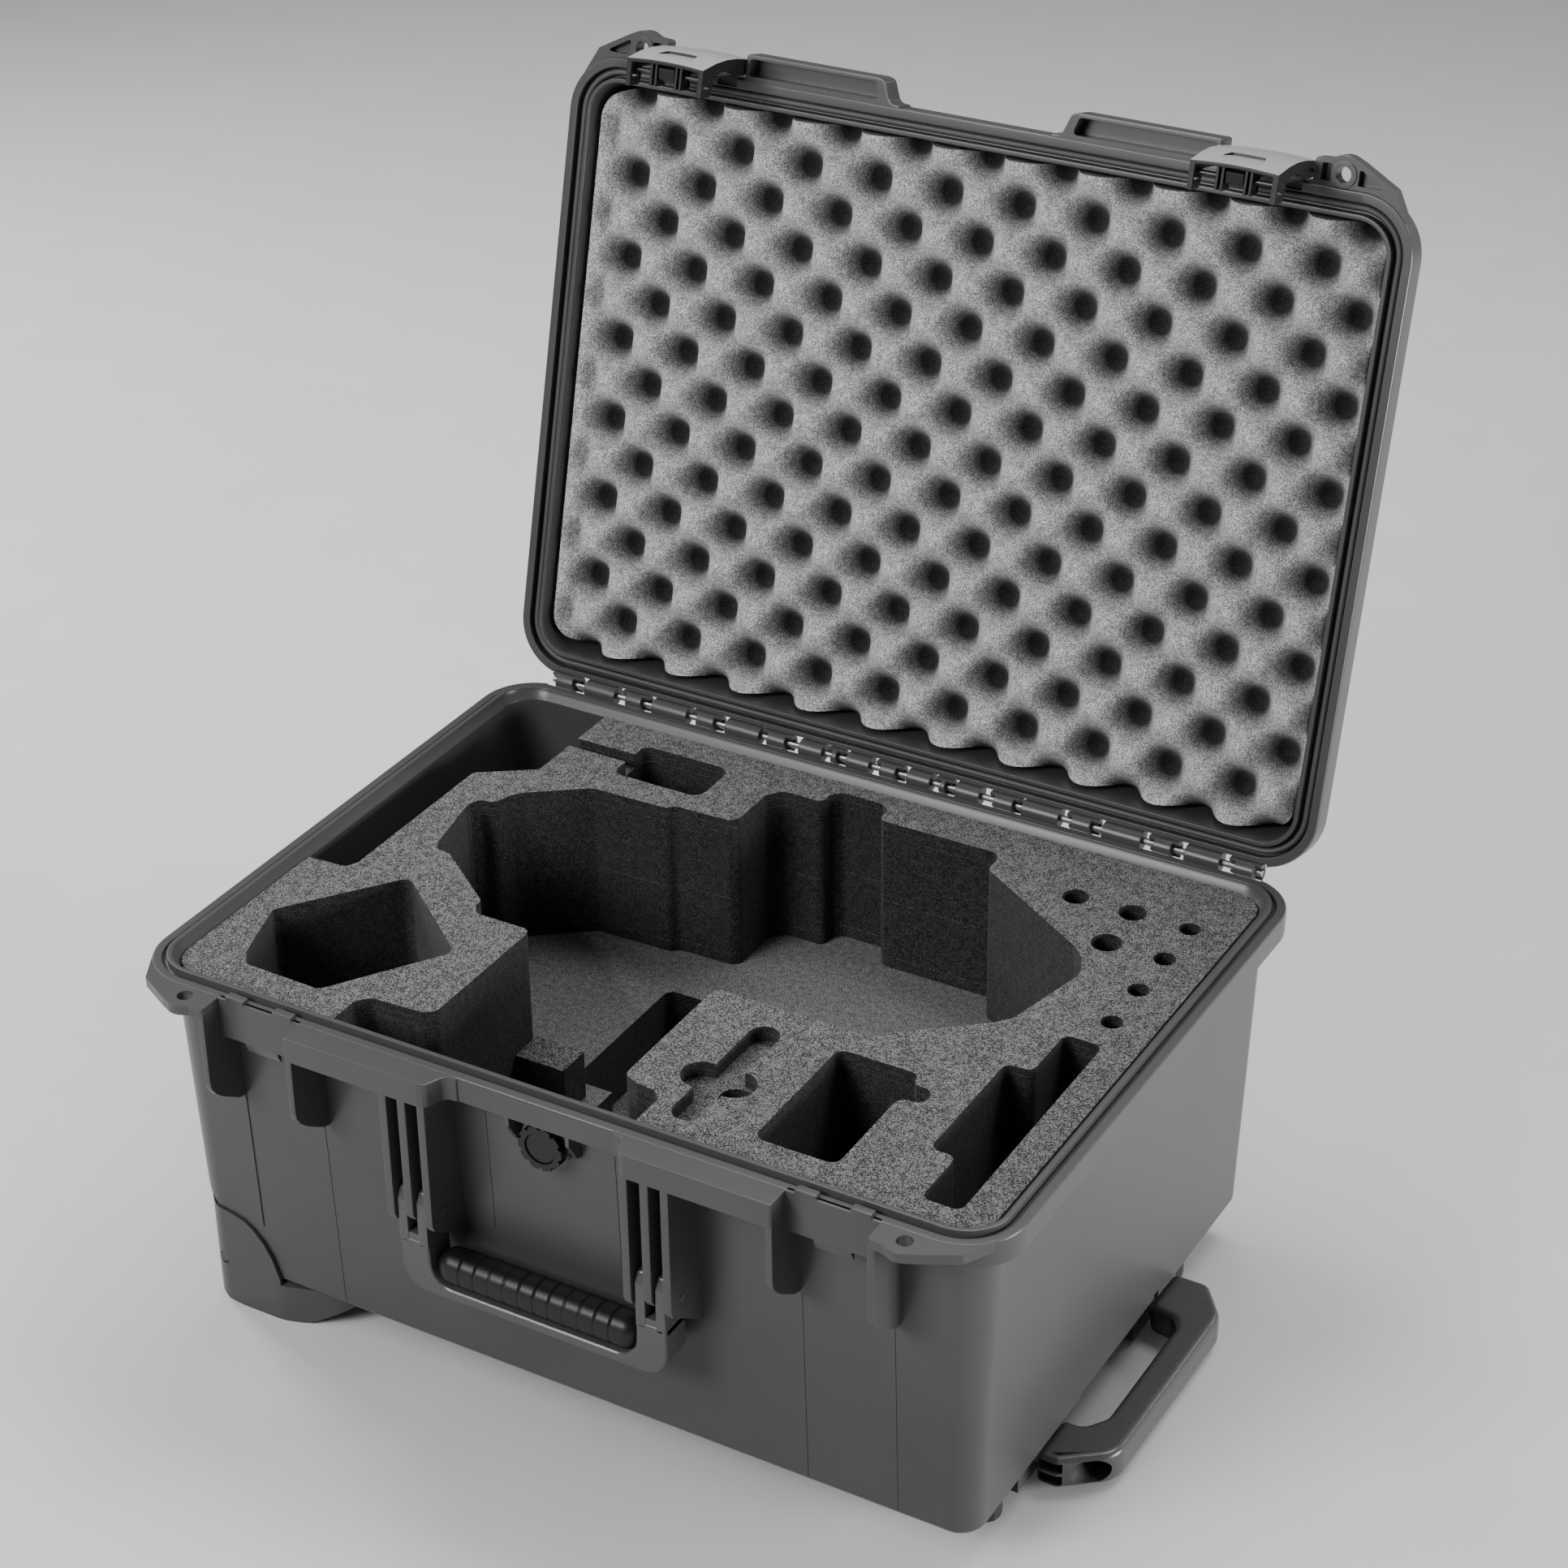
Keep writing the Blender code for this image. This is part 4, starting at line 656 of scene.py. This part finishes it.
# ---------------------------------------------------------------- front handle and valve
def handle():
    """Forked frame with rounded elbows and the ribbed grip."""
    z0 = HANDLE_PIVOT[1]
    low_x, high_x, front, back = 66.0, 84.5, -205.3, -185.0
    bottom, inside = -141.5, -134.5
    outer = rounded([(-high_x, bottom, 25), (high_x, bottom, 25), (high_x, z0 - 18, 0),
                     (low_x, z0 - 18.6, 0), (low_x - 1, inside, 22), (1 - low_x, inside, 22),
                     (-low_x, z0 - 18.6, 0), (-high_x, z0 - 18.6, 0)], 12)
    parts = [solid(outer, front, back, "Y", 2.0, 3)]
    for low, high in ((low_x + 0.4, high_x - 0.4), (0.4 - high_x, -low_x - 0.4)):
        parts.append(block((low, high), (front + 0.4, back), (z0 - 24, z0 - 14.5), 0.9))
    prong = [(front, z0 - 24), (front, z0 + 6), (-202.0, z0 + 12.8), (HANDLE_PIVOT[0], z0 + 14.5),
             (-191.0, z0 + 13.0), (back, z0 + 6), (back, z0 - 24)]
    parts += ribs(softened(prong, 3.0), ((low_x, 72.2), (78.5, high_x)), 0.9)
    frame_piece = store("handle_frame_fine", joined(parts), FITTING, RIM_FRAME)
    attach(frame_piece, "front_handle", "fitting_plastic", "handle_frame")

    half_length, pitch, core_y, core_z = 65.0, 9.6, -195.1, -124.9
    ribbed_end, dome_start, dome_length, corner_power = 53, 55, 10.2, 2.5
    rings, steps, around = [], 260, 40
    for step in range(steps + 1):
        x = -half_length + 2 * half_length * step / steps
        phase = (x / pitch) % 1.0
        groove = min(1.0, 12.0 * min(phase, 1 - phase)) if abs(x) < ribbed_end else 1.0
        rib_swell = 0.4 + 0.5 * groove
        dome = math.sqrt(max(0.02, 1 - max(0.0, (abs(x) - dome_start) / dome_length) ** 2))
        radius_y, radius_z = (9.0 + rib_swell) * dome, (9.2 + rib_swell) * dome
        ring = []
        for index in range(around):
            angle = 2 * math.pi * index / around
            cosine, sine = math.cos(angle), math.sin(angle)
            square = (abs(cosine) ** corner_power + abs(sine) ** corner_power) ** (-1 / corner_power)
            ring.append((x, core_y + radius_y * square * cosine, core_z + radius_z * square * sine))
        rings.append(ring)
    grip = store("handle_grip_fine", loft(rings), RUBBER, RIM_FRAME, 50)
    attach(grip, "front_handle", "rubber", "handle_grip")


def valve():
    """Notched valve cap over a ring, with a plain face."""
    z = -31.0
    face = -wall_depth(z)
    placing = RIM_FRAME @ Matrix.Translation((0, face * MM, z * MM))
    notches, steps_per_notch, cap_radius, notch_depth = 10, 12, 13.6, 1.5
    steps, outline = notches * steps_per_notch, []
    for step in range(steps):
        phase = (step / steps_per_notch) % 1.0
        radius = cap_radius - (notch_depth if 0.36 < phase < 0.64 else 0)
        angle = 2 * math.pi * step / steps
        outline.append((radius * math.cos(angle), radius * math.sin(angle)))
    ring, disc, backing = (circle((0, 0), radius, 48) for radius in (9.4, 9.0, 9.8))
    parts = [solid([outline, ring], -10.0, -4.6, "Y", 0.4), solid(disc, -9.2, -5.0, "Y", 0.5),
             solid(backing, -7.0, -5.0, "Y", 0.0)]
    cap = store("valve_cap_fine", joined(parts), RUBBER, placing)
    attach(cap, "base", "fitting_plastic", "valve_cap")


# ---------------------------------------------------------------- wheel housings, wheels, trolley
def housing(side, label):
    """Wheel housing let into the body's corner, its end curved back under the case."""
    under = BODY_BOTTOM - 0.3
    below = [(-166.0, -223.0), (-180.0, -231.0), (-186.0, -232.0), (-226.0, -232.0), (-236.0, -230.6),
             (-242.0, -227.5), (-247.0, -221.0)]
    outline = [*HOUSING_TOP, (-197.0, under), (-142.0, under), (-142.0, -208.5), *below]
    corner = [HOUSING_TOP[0], HOUSING_TOP[1], (-235.6, -166.3), (-235.6, under - 1), (-247.0, under - 1)]
    base = [(-247.0, under), (-142.0, under), (-142.0, -208.5), *below]
    cheek = solid(outline, *across(side, 173.5, 176.6), "Y", 0)
    made = store(f"wheel_housing_{label}_fine", cheek, SHELL, RIM_FRAME)
    plan = rounded([(-247.0, -176.6, 13), (-197.0, -176.6, 30), (-158.0, -164.6, 30),
                    (-142.0, -144.6, 0), (-142.0, -134.0, 0), (-247.0, -134.0, 0)], 12)
    if side > 0:
        plan = [(x, -y) for x, y in reversed(plan)]
    wheel_room = block((-260, -201), across(side, 141.0, 169.0), (-240, -180.5), 0)
    screw_hole = solid(circle((-237.0, -201.5), 3.9, 28), *across(side, 173.2, 190), "Y", 0)
    for operation, tool in (("UNION", solid(base, *across(side, 134.0, 176.6), "Y", 0)),
                            ("UNION", solid(corner, *across(side, 160.6, 176.6), "Y", 0)),
                            ("INTERSECT", solid(plan, -240, -150, "Z", 0)),
                            ("DIFFERENCE", wheel_room), ("DIFFERENCE", screw_hole)):
        combine(made, tool, RIM_FRAME, operation)
    made.data.set_sharp_from_angle(angle=math.radians(30))
    attach(made, "base", "shell_plastic", f"wheel_housing_{label}")


def tyre(side, label):
    """Ribbed tyre turned from a profile with shallow tread grooves."""
    half, rim, radius, around = 10.0, 15.8, 23.5, 64
    profile = [(rim, half), (radius - 3.0, half), (radius - 1.0, half - 1.2), (radius, half - 3.0)]
    for groove in (4.0, 0.0, -4.0):
        profile += [(radius, groove + 0.8), (radius - 0.9, groove + 0.4), (radius - 0.9, groove - 0.4),
                    (radius, groove - 0.8)]
    profile += [(radius, 3.0 - half), (radius - 1.0, 1.2 - half), (radius - 3.0, -half), (rim, -half)]
    angles = [2 * math.pi * i / around for i in range(around)]
    rings = []
    for r, y in profile + profile[:1]:
        rings.append([(r * math.cos(a), y, r * math.sin(a)) for a in angles])
    bm = loft(rings, closed_ends=False)
    bmesh.ops.remove_doubles(bm, verts=bm.verts, dist=0.00001)
    bmesh.ops.recalc_face_normals(bm, faces=bm.faces)
    placing = Matrix.Translation((-227.0 * MM, side * 155.0 * MM, 25.5 * MM))
    made = store(f"wheel_tyre_{label}_fine", bm, TYRE, placing)
    attach(made, f"wheel_{label}", "tyre", f"wheel_tyre_{label}")


GRIP_HEIGHTS = (4.0, 24.0)


def trolley_grip():
    """C-shaped pull grip with cored end pockets."""
    plan = rounded([(246.0, -93.0, 0), (259.0, -93.0, 5), (285.5, -72.0, 18), (285.5, 64.0, 18),
                    (268.0, 87.0, 8), (246.0, 87.0, 0), (246.0, 53.0, 0), (262.0, 50.0, 6),
                    (267.0, 42.0, 6), (267.0, -46.0, 8), (258.0, -59.0, 8), (246.0, -59.0, 0)], 10)
    made = store("trolley_grip_fine", solid(plan, *GRIP_HEIGHTS, "Z", 5.0, 5), FITTING, FLOOR_FRAME)
    tunnel = rounded([(264.5, 6.6, 7), (282.6, 6.6, 7), (282.6, 21.4, 7), (264.5, 21.4, 7)], 8)
    upper = softened([(247.0, 15.0), (261.5, 15.0), (261.5, 21.4), (247.0, 21.4)], 0.8)
    lower = softened([(247.0, 6.6), (261.5, 6.6), (261.5, 13.2), (247.0, 13.2)], 0.8)
    cut(made, [solid(tunnel, -100, -52, "Y", 0), solid(upper, -100, -70, "Y", 0),
               solid(lower, -100, -70, "Y", 0)], FLOOR_FRAME)
    attach(made, "trolley", "fitting_plastic", "trolley_grip")


# ---------------------------------------------------------------- foam
NECK_RIGHT, NECK_LEFT = 51.7, -140.7
DRONE_OUTLINE = [(NECK_LEFT, -156.5), (-134.3, -149.5), (-101.8, -147.5), (-96, -143.5), (-96, -50.5),
                 (-133.3, -50.5), (-138, -43.5), (-138, -38), (-183, -4.5), (-193, -3.7), (-196.5, 3),
                 (-205, 44.5), (-205, 49.5), (-202, 55), (-193, 56.5), (-188.7, 68.5), (-184.5, 74),
                 (-157, 94.5), (-150, 99), (-99.5, 100.5), (-96.5, 105), (-60.5, 106), (-55.5, 110.5),
                 (-55.5, 142.5), (-48.5, 151), (-22, 151), (-22, 161), (-16.5, 166.5), (10.5, 166.5),
                 (17, 161.5), (17, 149.5), (93.5, 149.5), (98, 146.5), (99, 131), (177.5, 82.5),
                 (186, 74), (191.5, 62), (192, 55), (179.5, 1.5), (171.5, -7), (129.5, -41.5),
                 (122.5, -50.5), (24.7, -50.5), (24.7, -143), (34.5, -147.5), (46.5, -148.5),
                 (NECK_RIGHT, -153.5)]
REAR_LEFT_CUT = [(-191, 102.5), (-224, 79.7), (-224, -38), (-227.6, -45.5)]
SMALL_POCKET = [(-150, 120.4), (-89, 120.4), (-89, 157.7), (-150, 157.7)]
CHANNEL = ((-191, -150), (135.5, 145.5))
TRAPEZOID = [(-188, -37.5), (-120.7, -90), (-165, -156.5), (-215.6, -155.5), (-223, -145), (-236.3, -103)]
KEY_SLOT = (62.0, 80.0, -164.0, -68.5)
KEY_DISCS = ((60.0, -124.0, 11.5), (80.5, -123.5, 12.0))
SQUARE_POCKET = [(112, -159), (161, -159), (161, -92), (174.7, -92), (174.7, -78), (161, -78),
                 (161, -68.5), (112, -68.5)]
BAR_POCKET = [(211, -162.3), (233.7, -162.3), (233.7, 1.5), (211, 1.5), (211, -37.5), (195.5, -37.5),
              (195.5, -123.4), (211, -123.4)]
ROUND_HOLES = ((155.8, 129, 7.8), (191.3, 129, 8.2), (226.5, 129, 6.3), (191.7, 94, 9),
               (226.8, 94.5, 6.5), (227.2, 59.4, 6.3), (227.9, 24.5, 6.3))
POCKET_FLOOR = -105.0
TRENCH = rounded([(-79.1, -41.0, 0), (-52.3, -41.0, 0), (-52.3, -150.0, 4), (-20.0, -150.0, 4),
                  (-20.0, 64.7, 5), (-79.1, 64.7, 6)])
TRENCH_FLOOR = -148.2


def foam_outline(half_x, channel):
    """Outline of one base foam sheet with the aircraft's pocket and the rear left cut-out."""
    half_y = half_x - DEPTH_OFFSET
    shape = [(NECK_RIGHT, -half_y, 2), (half_x, -half_y, 18), (half_x, half_y, 18), (-191, half_y, 2)]
    if channel:
        (x0, x1), (y0, y1) = CHANNEL
        shape += [(x0, y1, 1), (x1, y1, 1), (*SMALL_POCKET[3], 6), (*SMALL_POCKET[2], 8),
                  (*SMALL_POCKET[1], 8), (*SMALL_POCKET[0], 6), (x1, y0, 1), (x0, y0, 1)]
    shape += [(x, y, 4) for x, y in REAR_LEFT_CUT]
    shape += [(-half_x, -47, 2), (-half_x, -half_y, 18), (NECK_LEFT, -half_y, 2)]
    shape += [(x, y, 5) for x, y in DRONE_OUTLINE]
    return rounded(shape, 4)


def key_outline():
    """A slot with a disc to each side, as one outline."""
    low_x, high_x, low_y, high_y = KEY_SLOT
    centre, half = (low_x + high_x) / 2, (high_x - low_x) / 2
    (lx, ly, lr), (rx, ry, rr) = KEY_DISCS
    return (arc((centre, high_y - half), half, 0, 180, 12) + arc((lx, ly), lr, 80, 280, 14)
            + arc((centre, low_y + half), half, 180, 360, 12) + arc((rx, ry), rr, -95, 95, 14))


def shade_upright_faces(made, painted_shade_material):
    """Upright faces take the darker copy of the foam colour, painted shade for the dimmer light on them;
    the flat faces keep the lighter one.
    """
    made.data.materials.append(painted_shade_material)
    for polygon in made.data.polygons:
        # upright faces get the painted shade
        if abs(polygon.normal.z) < 0.5:
            polygon.material_index = 1


def foam_sheet(name, node, outlines, low, high, bevel=0.7, face=BASE_FOAM):
    """One sheet of base foam with softened edges, its upright faces given the painted shade."""
    made = store(name, solid(outlines, low, high, "Z", bevel), face, RIM_FRAME, 60)
    # painted shade: upright faces get the darker copy of the foam colour
    shade_upright_faces(made, UPRIGHT_FOAM_PAINTED_SHADE)
    attach(made, "base", "foam", *([node] if node else []))
    return made


def base_foam():
    """The stack of cut sheets in the base."""
    rounds = [circle((x, y), r, 28) for x, y, r in ROUND_HOLES]
    pockets = [softened(TRAPEZOID, 6), softened(SQUARE_POCKET, 6), softened(BAR_POCKET, 5)]
    sheet = [foam_outline(252.9, True)] + pockets + [key_outline()] + rounds
    foam_sheet("foam_top_sheet_upper", "foam_top_sheet", sheet, -7.6, -3.0)
    foam_sheet("foam_top_sheet_lower", None, sheet, -12.4, -7.8, 0.3)
    key_holes = [circle((x, y), r - 2.5, 24) for x, y, r in KEY_DISCS[1:]]
    upper = [foam_outline(251.3, False)] + pockets + [softened(SMALL_POCKET, 8)] + key_holes + rounds
    foam_sheet("foam_upper_fine", "foam_upper", upper, -57.8, -12.6, 0.5)
    foam_sheet("foam_middle_fine", "foam_middle", [foam_outline(250.0, False)] + pockets, -96.8, -58.1, 0.5)
    foam_sheet("foam_lower_fine", "foam_lower", [foam_outline(249.4, False)], -104.8, -97.1, 0.4)
    plate = rounded_rectangle(249.1, 249.1 - DEPTH_OFFSET, 18.0, 6)
    # the pocket floor takes the lighter foam colour as painted light
    foam_sheet("foam_floor_fine", "foam_floor", [plate, TRENCH], -122.8, POCKET_FLOOR, 0.4, FLOOR_FOAM_PAINTED_LIGHT)
    half_x = 246.4
    half_y = half_x - DEPTH_OFFSET
    plan = rounded([(half_x, -half_y, 12), (half_x, -52, 0), (236.5, -52, 0), (236.5, 62, 0),
                    (half_x, 62, 0), (half_x, half_y, 12), (-196, half_y, 0), (-196, 137, 0),
                    (-half_x, 137, 0), (-half_x, -137, 0), (-196, -137, 0), (-196, -half_y, 0)])
    foam_sheet("foam_base_upper", "foam_base", [plan, TRENCH], TRENCH_FLOOR, -123.1, 0.4)
    foam_sheet("foam_base_lower", None, [plan], -199.6, TRENCH_FLOOR - 0.1, 0.5, FLOOR_FOAM_PAINTED_LIGHT)
    foam_sheet("foam_ledge_block_fine", "foam_ledge_block",
               [softened([(-95.6, -73.5), (-63, -73.5), (-63, -50.8), (-95.6, -50.8)], 1.5)],
               POCKET_FLOOR + 0.3, -74.0, 0.6)


CRATE_PERIOD, CRATE_HOLLOW = (46.54, 50.37), (-228.45, 179.1)
CRATE_PEAK, CRATE_VALLEY, CRATE_BACK, CRATE_POWER = 4.0, 31.0, 50.2, 1.3
CRATE_EDGE_X, CRATE_EDGE_WIDTH, CRATE_EDGE_HEIGHT = -240.0, 9.0, 8.0
# painted shade in the hollows: the foam colour fades from full at the first depth to CRATE_DARKEST at the
# second
CRATE_SHADE_DEPTHS, CRATE_DARKEST = (12.0, 25.0), 0.05
CRATE_SKIRT_TAPER = (0.992, 0.99)


def crate_height(x, y):
    """Height of the egg-crate surface: broad round peaks between narrower, deeper hollows."""
    wave = 1.0
    for value, origin, period in zip((x, y), CRATE_HOLLOW, CRATE_PERIOD):
        wave *= math.cos(2 * math.pi * (value - origin) / period)
    height = CRATE_PEAK + (CRATE_VALLEY - CRATE_PEAK) * ((wave + 1) / 2) ** CRATE_POWER
    squeezed = max(0.0, min(1.0, (CRATE_EDGE_X - x) / CRATE_EDGE_WIDTH))
    squeezed *= squeezed * (3 - 2 * squeezed)
    return height + (CRATE_EDGE_HEIGHT - height) * squeezed


def crate_material():
    """Open-cell foam, lighter than the base foam as painted light for the lid facing the lights, and
    darkened with depth below the peaks as painted shade, where little light falls.
    """
    # painted light: a lighter copy of the foam colour for the lid, which faces the lights
    made = foam_material("lid_foam", 0.20, 0.66, 1300, 0.0006)
    nodes, links = made.node_tree.nodes, made.node_tree.links
    shader = nodes["Principled BSDF"]
    inward = LID_FRAME.to_3x3() @ Vector((0, 0, 1))
    coordinates = next(node for node in nodes if node.type == "TEX_COORD")
    depth = nodes.new("ShaderNodeVectorMath")
    depth.operation = "DOT_PRODUCT"
    depth.inputs[1].default_value = inward
    links.new(coordinates.outputs["Object"], depth.inputs[0])
    shade = nodes.new("ShaderNodeMapRange")
    zero = inward.dot(LID_FRAME.translation)
    shade.inputs["From Min"].default_value = zero + CRATE_SHADE_DEPTHS[0] * MM
    shade.inputs["From Max"].default_value = zero + CRATE_SHADE_DEPTHS[1] * MM
    shade.inputs["To Min"].default_value, shade.inputs["To Max"].default_value = 1.0, CRATE_DARKEST
    links.new(depth.outputs["Value"], shade.inputs["Value"])
    scaled = nodes.new("ShaderNodeVectorMath")
    scaled.operation = "SCALE"
    colour = shader.inputs["Base Color"].links[0].from_socket
    links.new(colour, scaled.inputs[0])
    links.new(shade.outputs["Result"], scaled.inputs["Scale"])
    links.new(scaled.outputs["Vector"], shader.inputs["Base Color"])
    return made


def lid_foam():
    """Egg-crate pad, fine enough to round every peak and hollow."""
    half_x, half_y, radius = 250.4, 174.4, 20.0
    columns, rows = 216, 150
    bm = bmesh.new()
    bmesh.ops.create_grid(bm, x_segments=columns, y_segments=rows, size=0.5)
    for vert in bm.verts:
        x, y = vert.co.x * 2 * half_x, vert.co.y * 2 * half_y
        past_x, past_y = abs(x) - (half_x - radius), abs(y) - (half_y - radius)
        distance = math.hypot(past_x, past_y)
        if past_x > 0 and past_y > 0 and distance > radius:
            excess = 1 - radius / distance
            x, y = x - math.copysign(past_x * excess, x), y - math.copysign(past_y * excess, y)
        vert.co = Vector((x, y, crate_height(x, y))) * MM
    skirt = bmesh.ops.extrude_edge_only(bm, edges=[edge for edge in bm.edges if edge.is_boundary])["geom"]
    for vert in (item for item in skirt if isinstance(item, bmesh.types.BMVert)):
        taper_x, taper_y = CRATE_SKIRT_TAPER
        vert.co = Vector((vert.co.x * taper_x, vert.co.y * taper_y, (CRATE_BACK - 3) * MM))
    bmesh.ops.contextual_create(bm, geom=[edge for edge in bm.edges if edge.is_boundary])
    bmesh.ops.recalc_face_normals(bm, faces=bm.faces)
    made = store("lid_foam_fine", bm, crate_material(), LID_FRAME, 70)
    attach(made, "lid", "foam", "lid_foam")


# ---------------------------------------------------------------- carried-over CAD nodes
CARRIED = {"hinge_pin": STEEL, "handle_pin_left": STEEL, "handle_pin_right": STEEL,
           "latch_pivot_pin_left": STEEL, "latch_pivot_pin_right": STEEL,
           "housing_screw_front": FITTING, "housing_screw_rear": FITTING,
           "wheel_axle_front": STEEL, "wheel_axle_rear": STEEL, "wheel_hub_front": FITTING,
           "wheel_hub_rear": FITTING, "trolley_tube_front": ALUMINIUM, "trolley_tube_rear": ALUMINIUM,
           "trolley_cover": FITTING, "valve_body": FITTING, "foot_front": TYRE, "foot_rear": TYRE}


def finish_carried():
    """Material and smooth shading for the CAD parts that are shown as they are."""
    for node, material in CARRIED.items():
        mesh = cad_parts[node].data
        mesh.materials.clear()
        mesh.materials.append(material)
        mesh.shade_smooth()
        mesh.set_sharp_from_angle(angle=math.radians(35))


base_shell()
lid_shell()
gasket()
for latch_side, latch_label in ((-1, "left"), (1, "right")):
    latch(latch_side, latch_label)
handle()
valve()
for wheel_side, wheel_label in ((-1, "front"), (1, "rear")):
    housing(wheel_side, wheel_label)
    tyre(wheel_side, wheel_label)
trolley_grip()
base_foam()
lid_foam()
finish_carried()

bpy.context.view_layer.update()
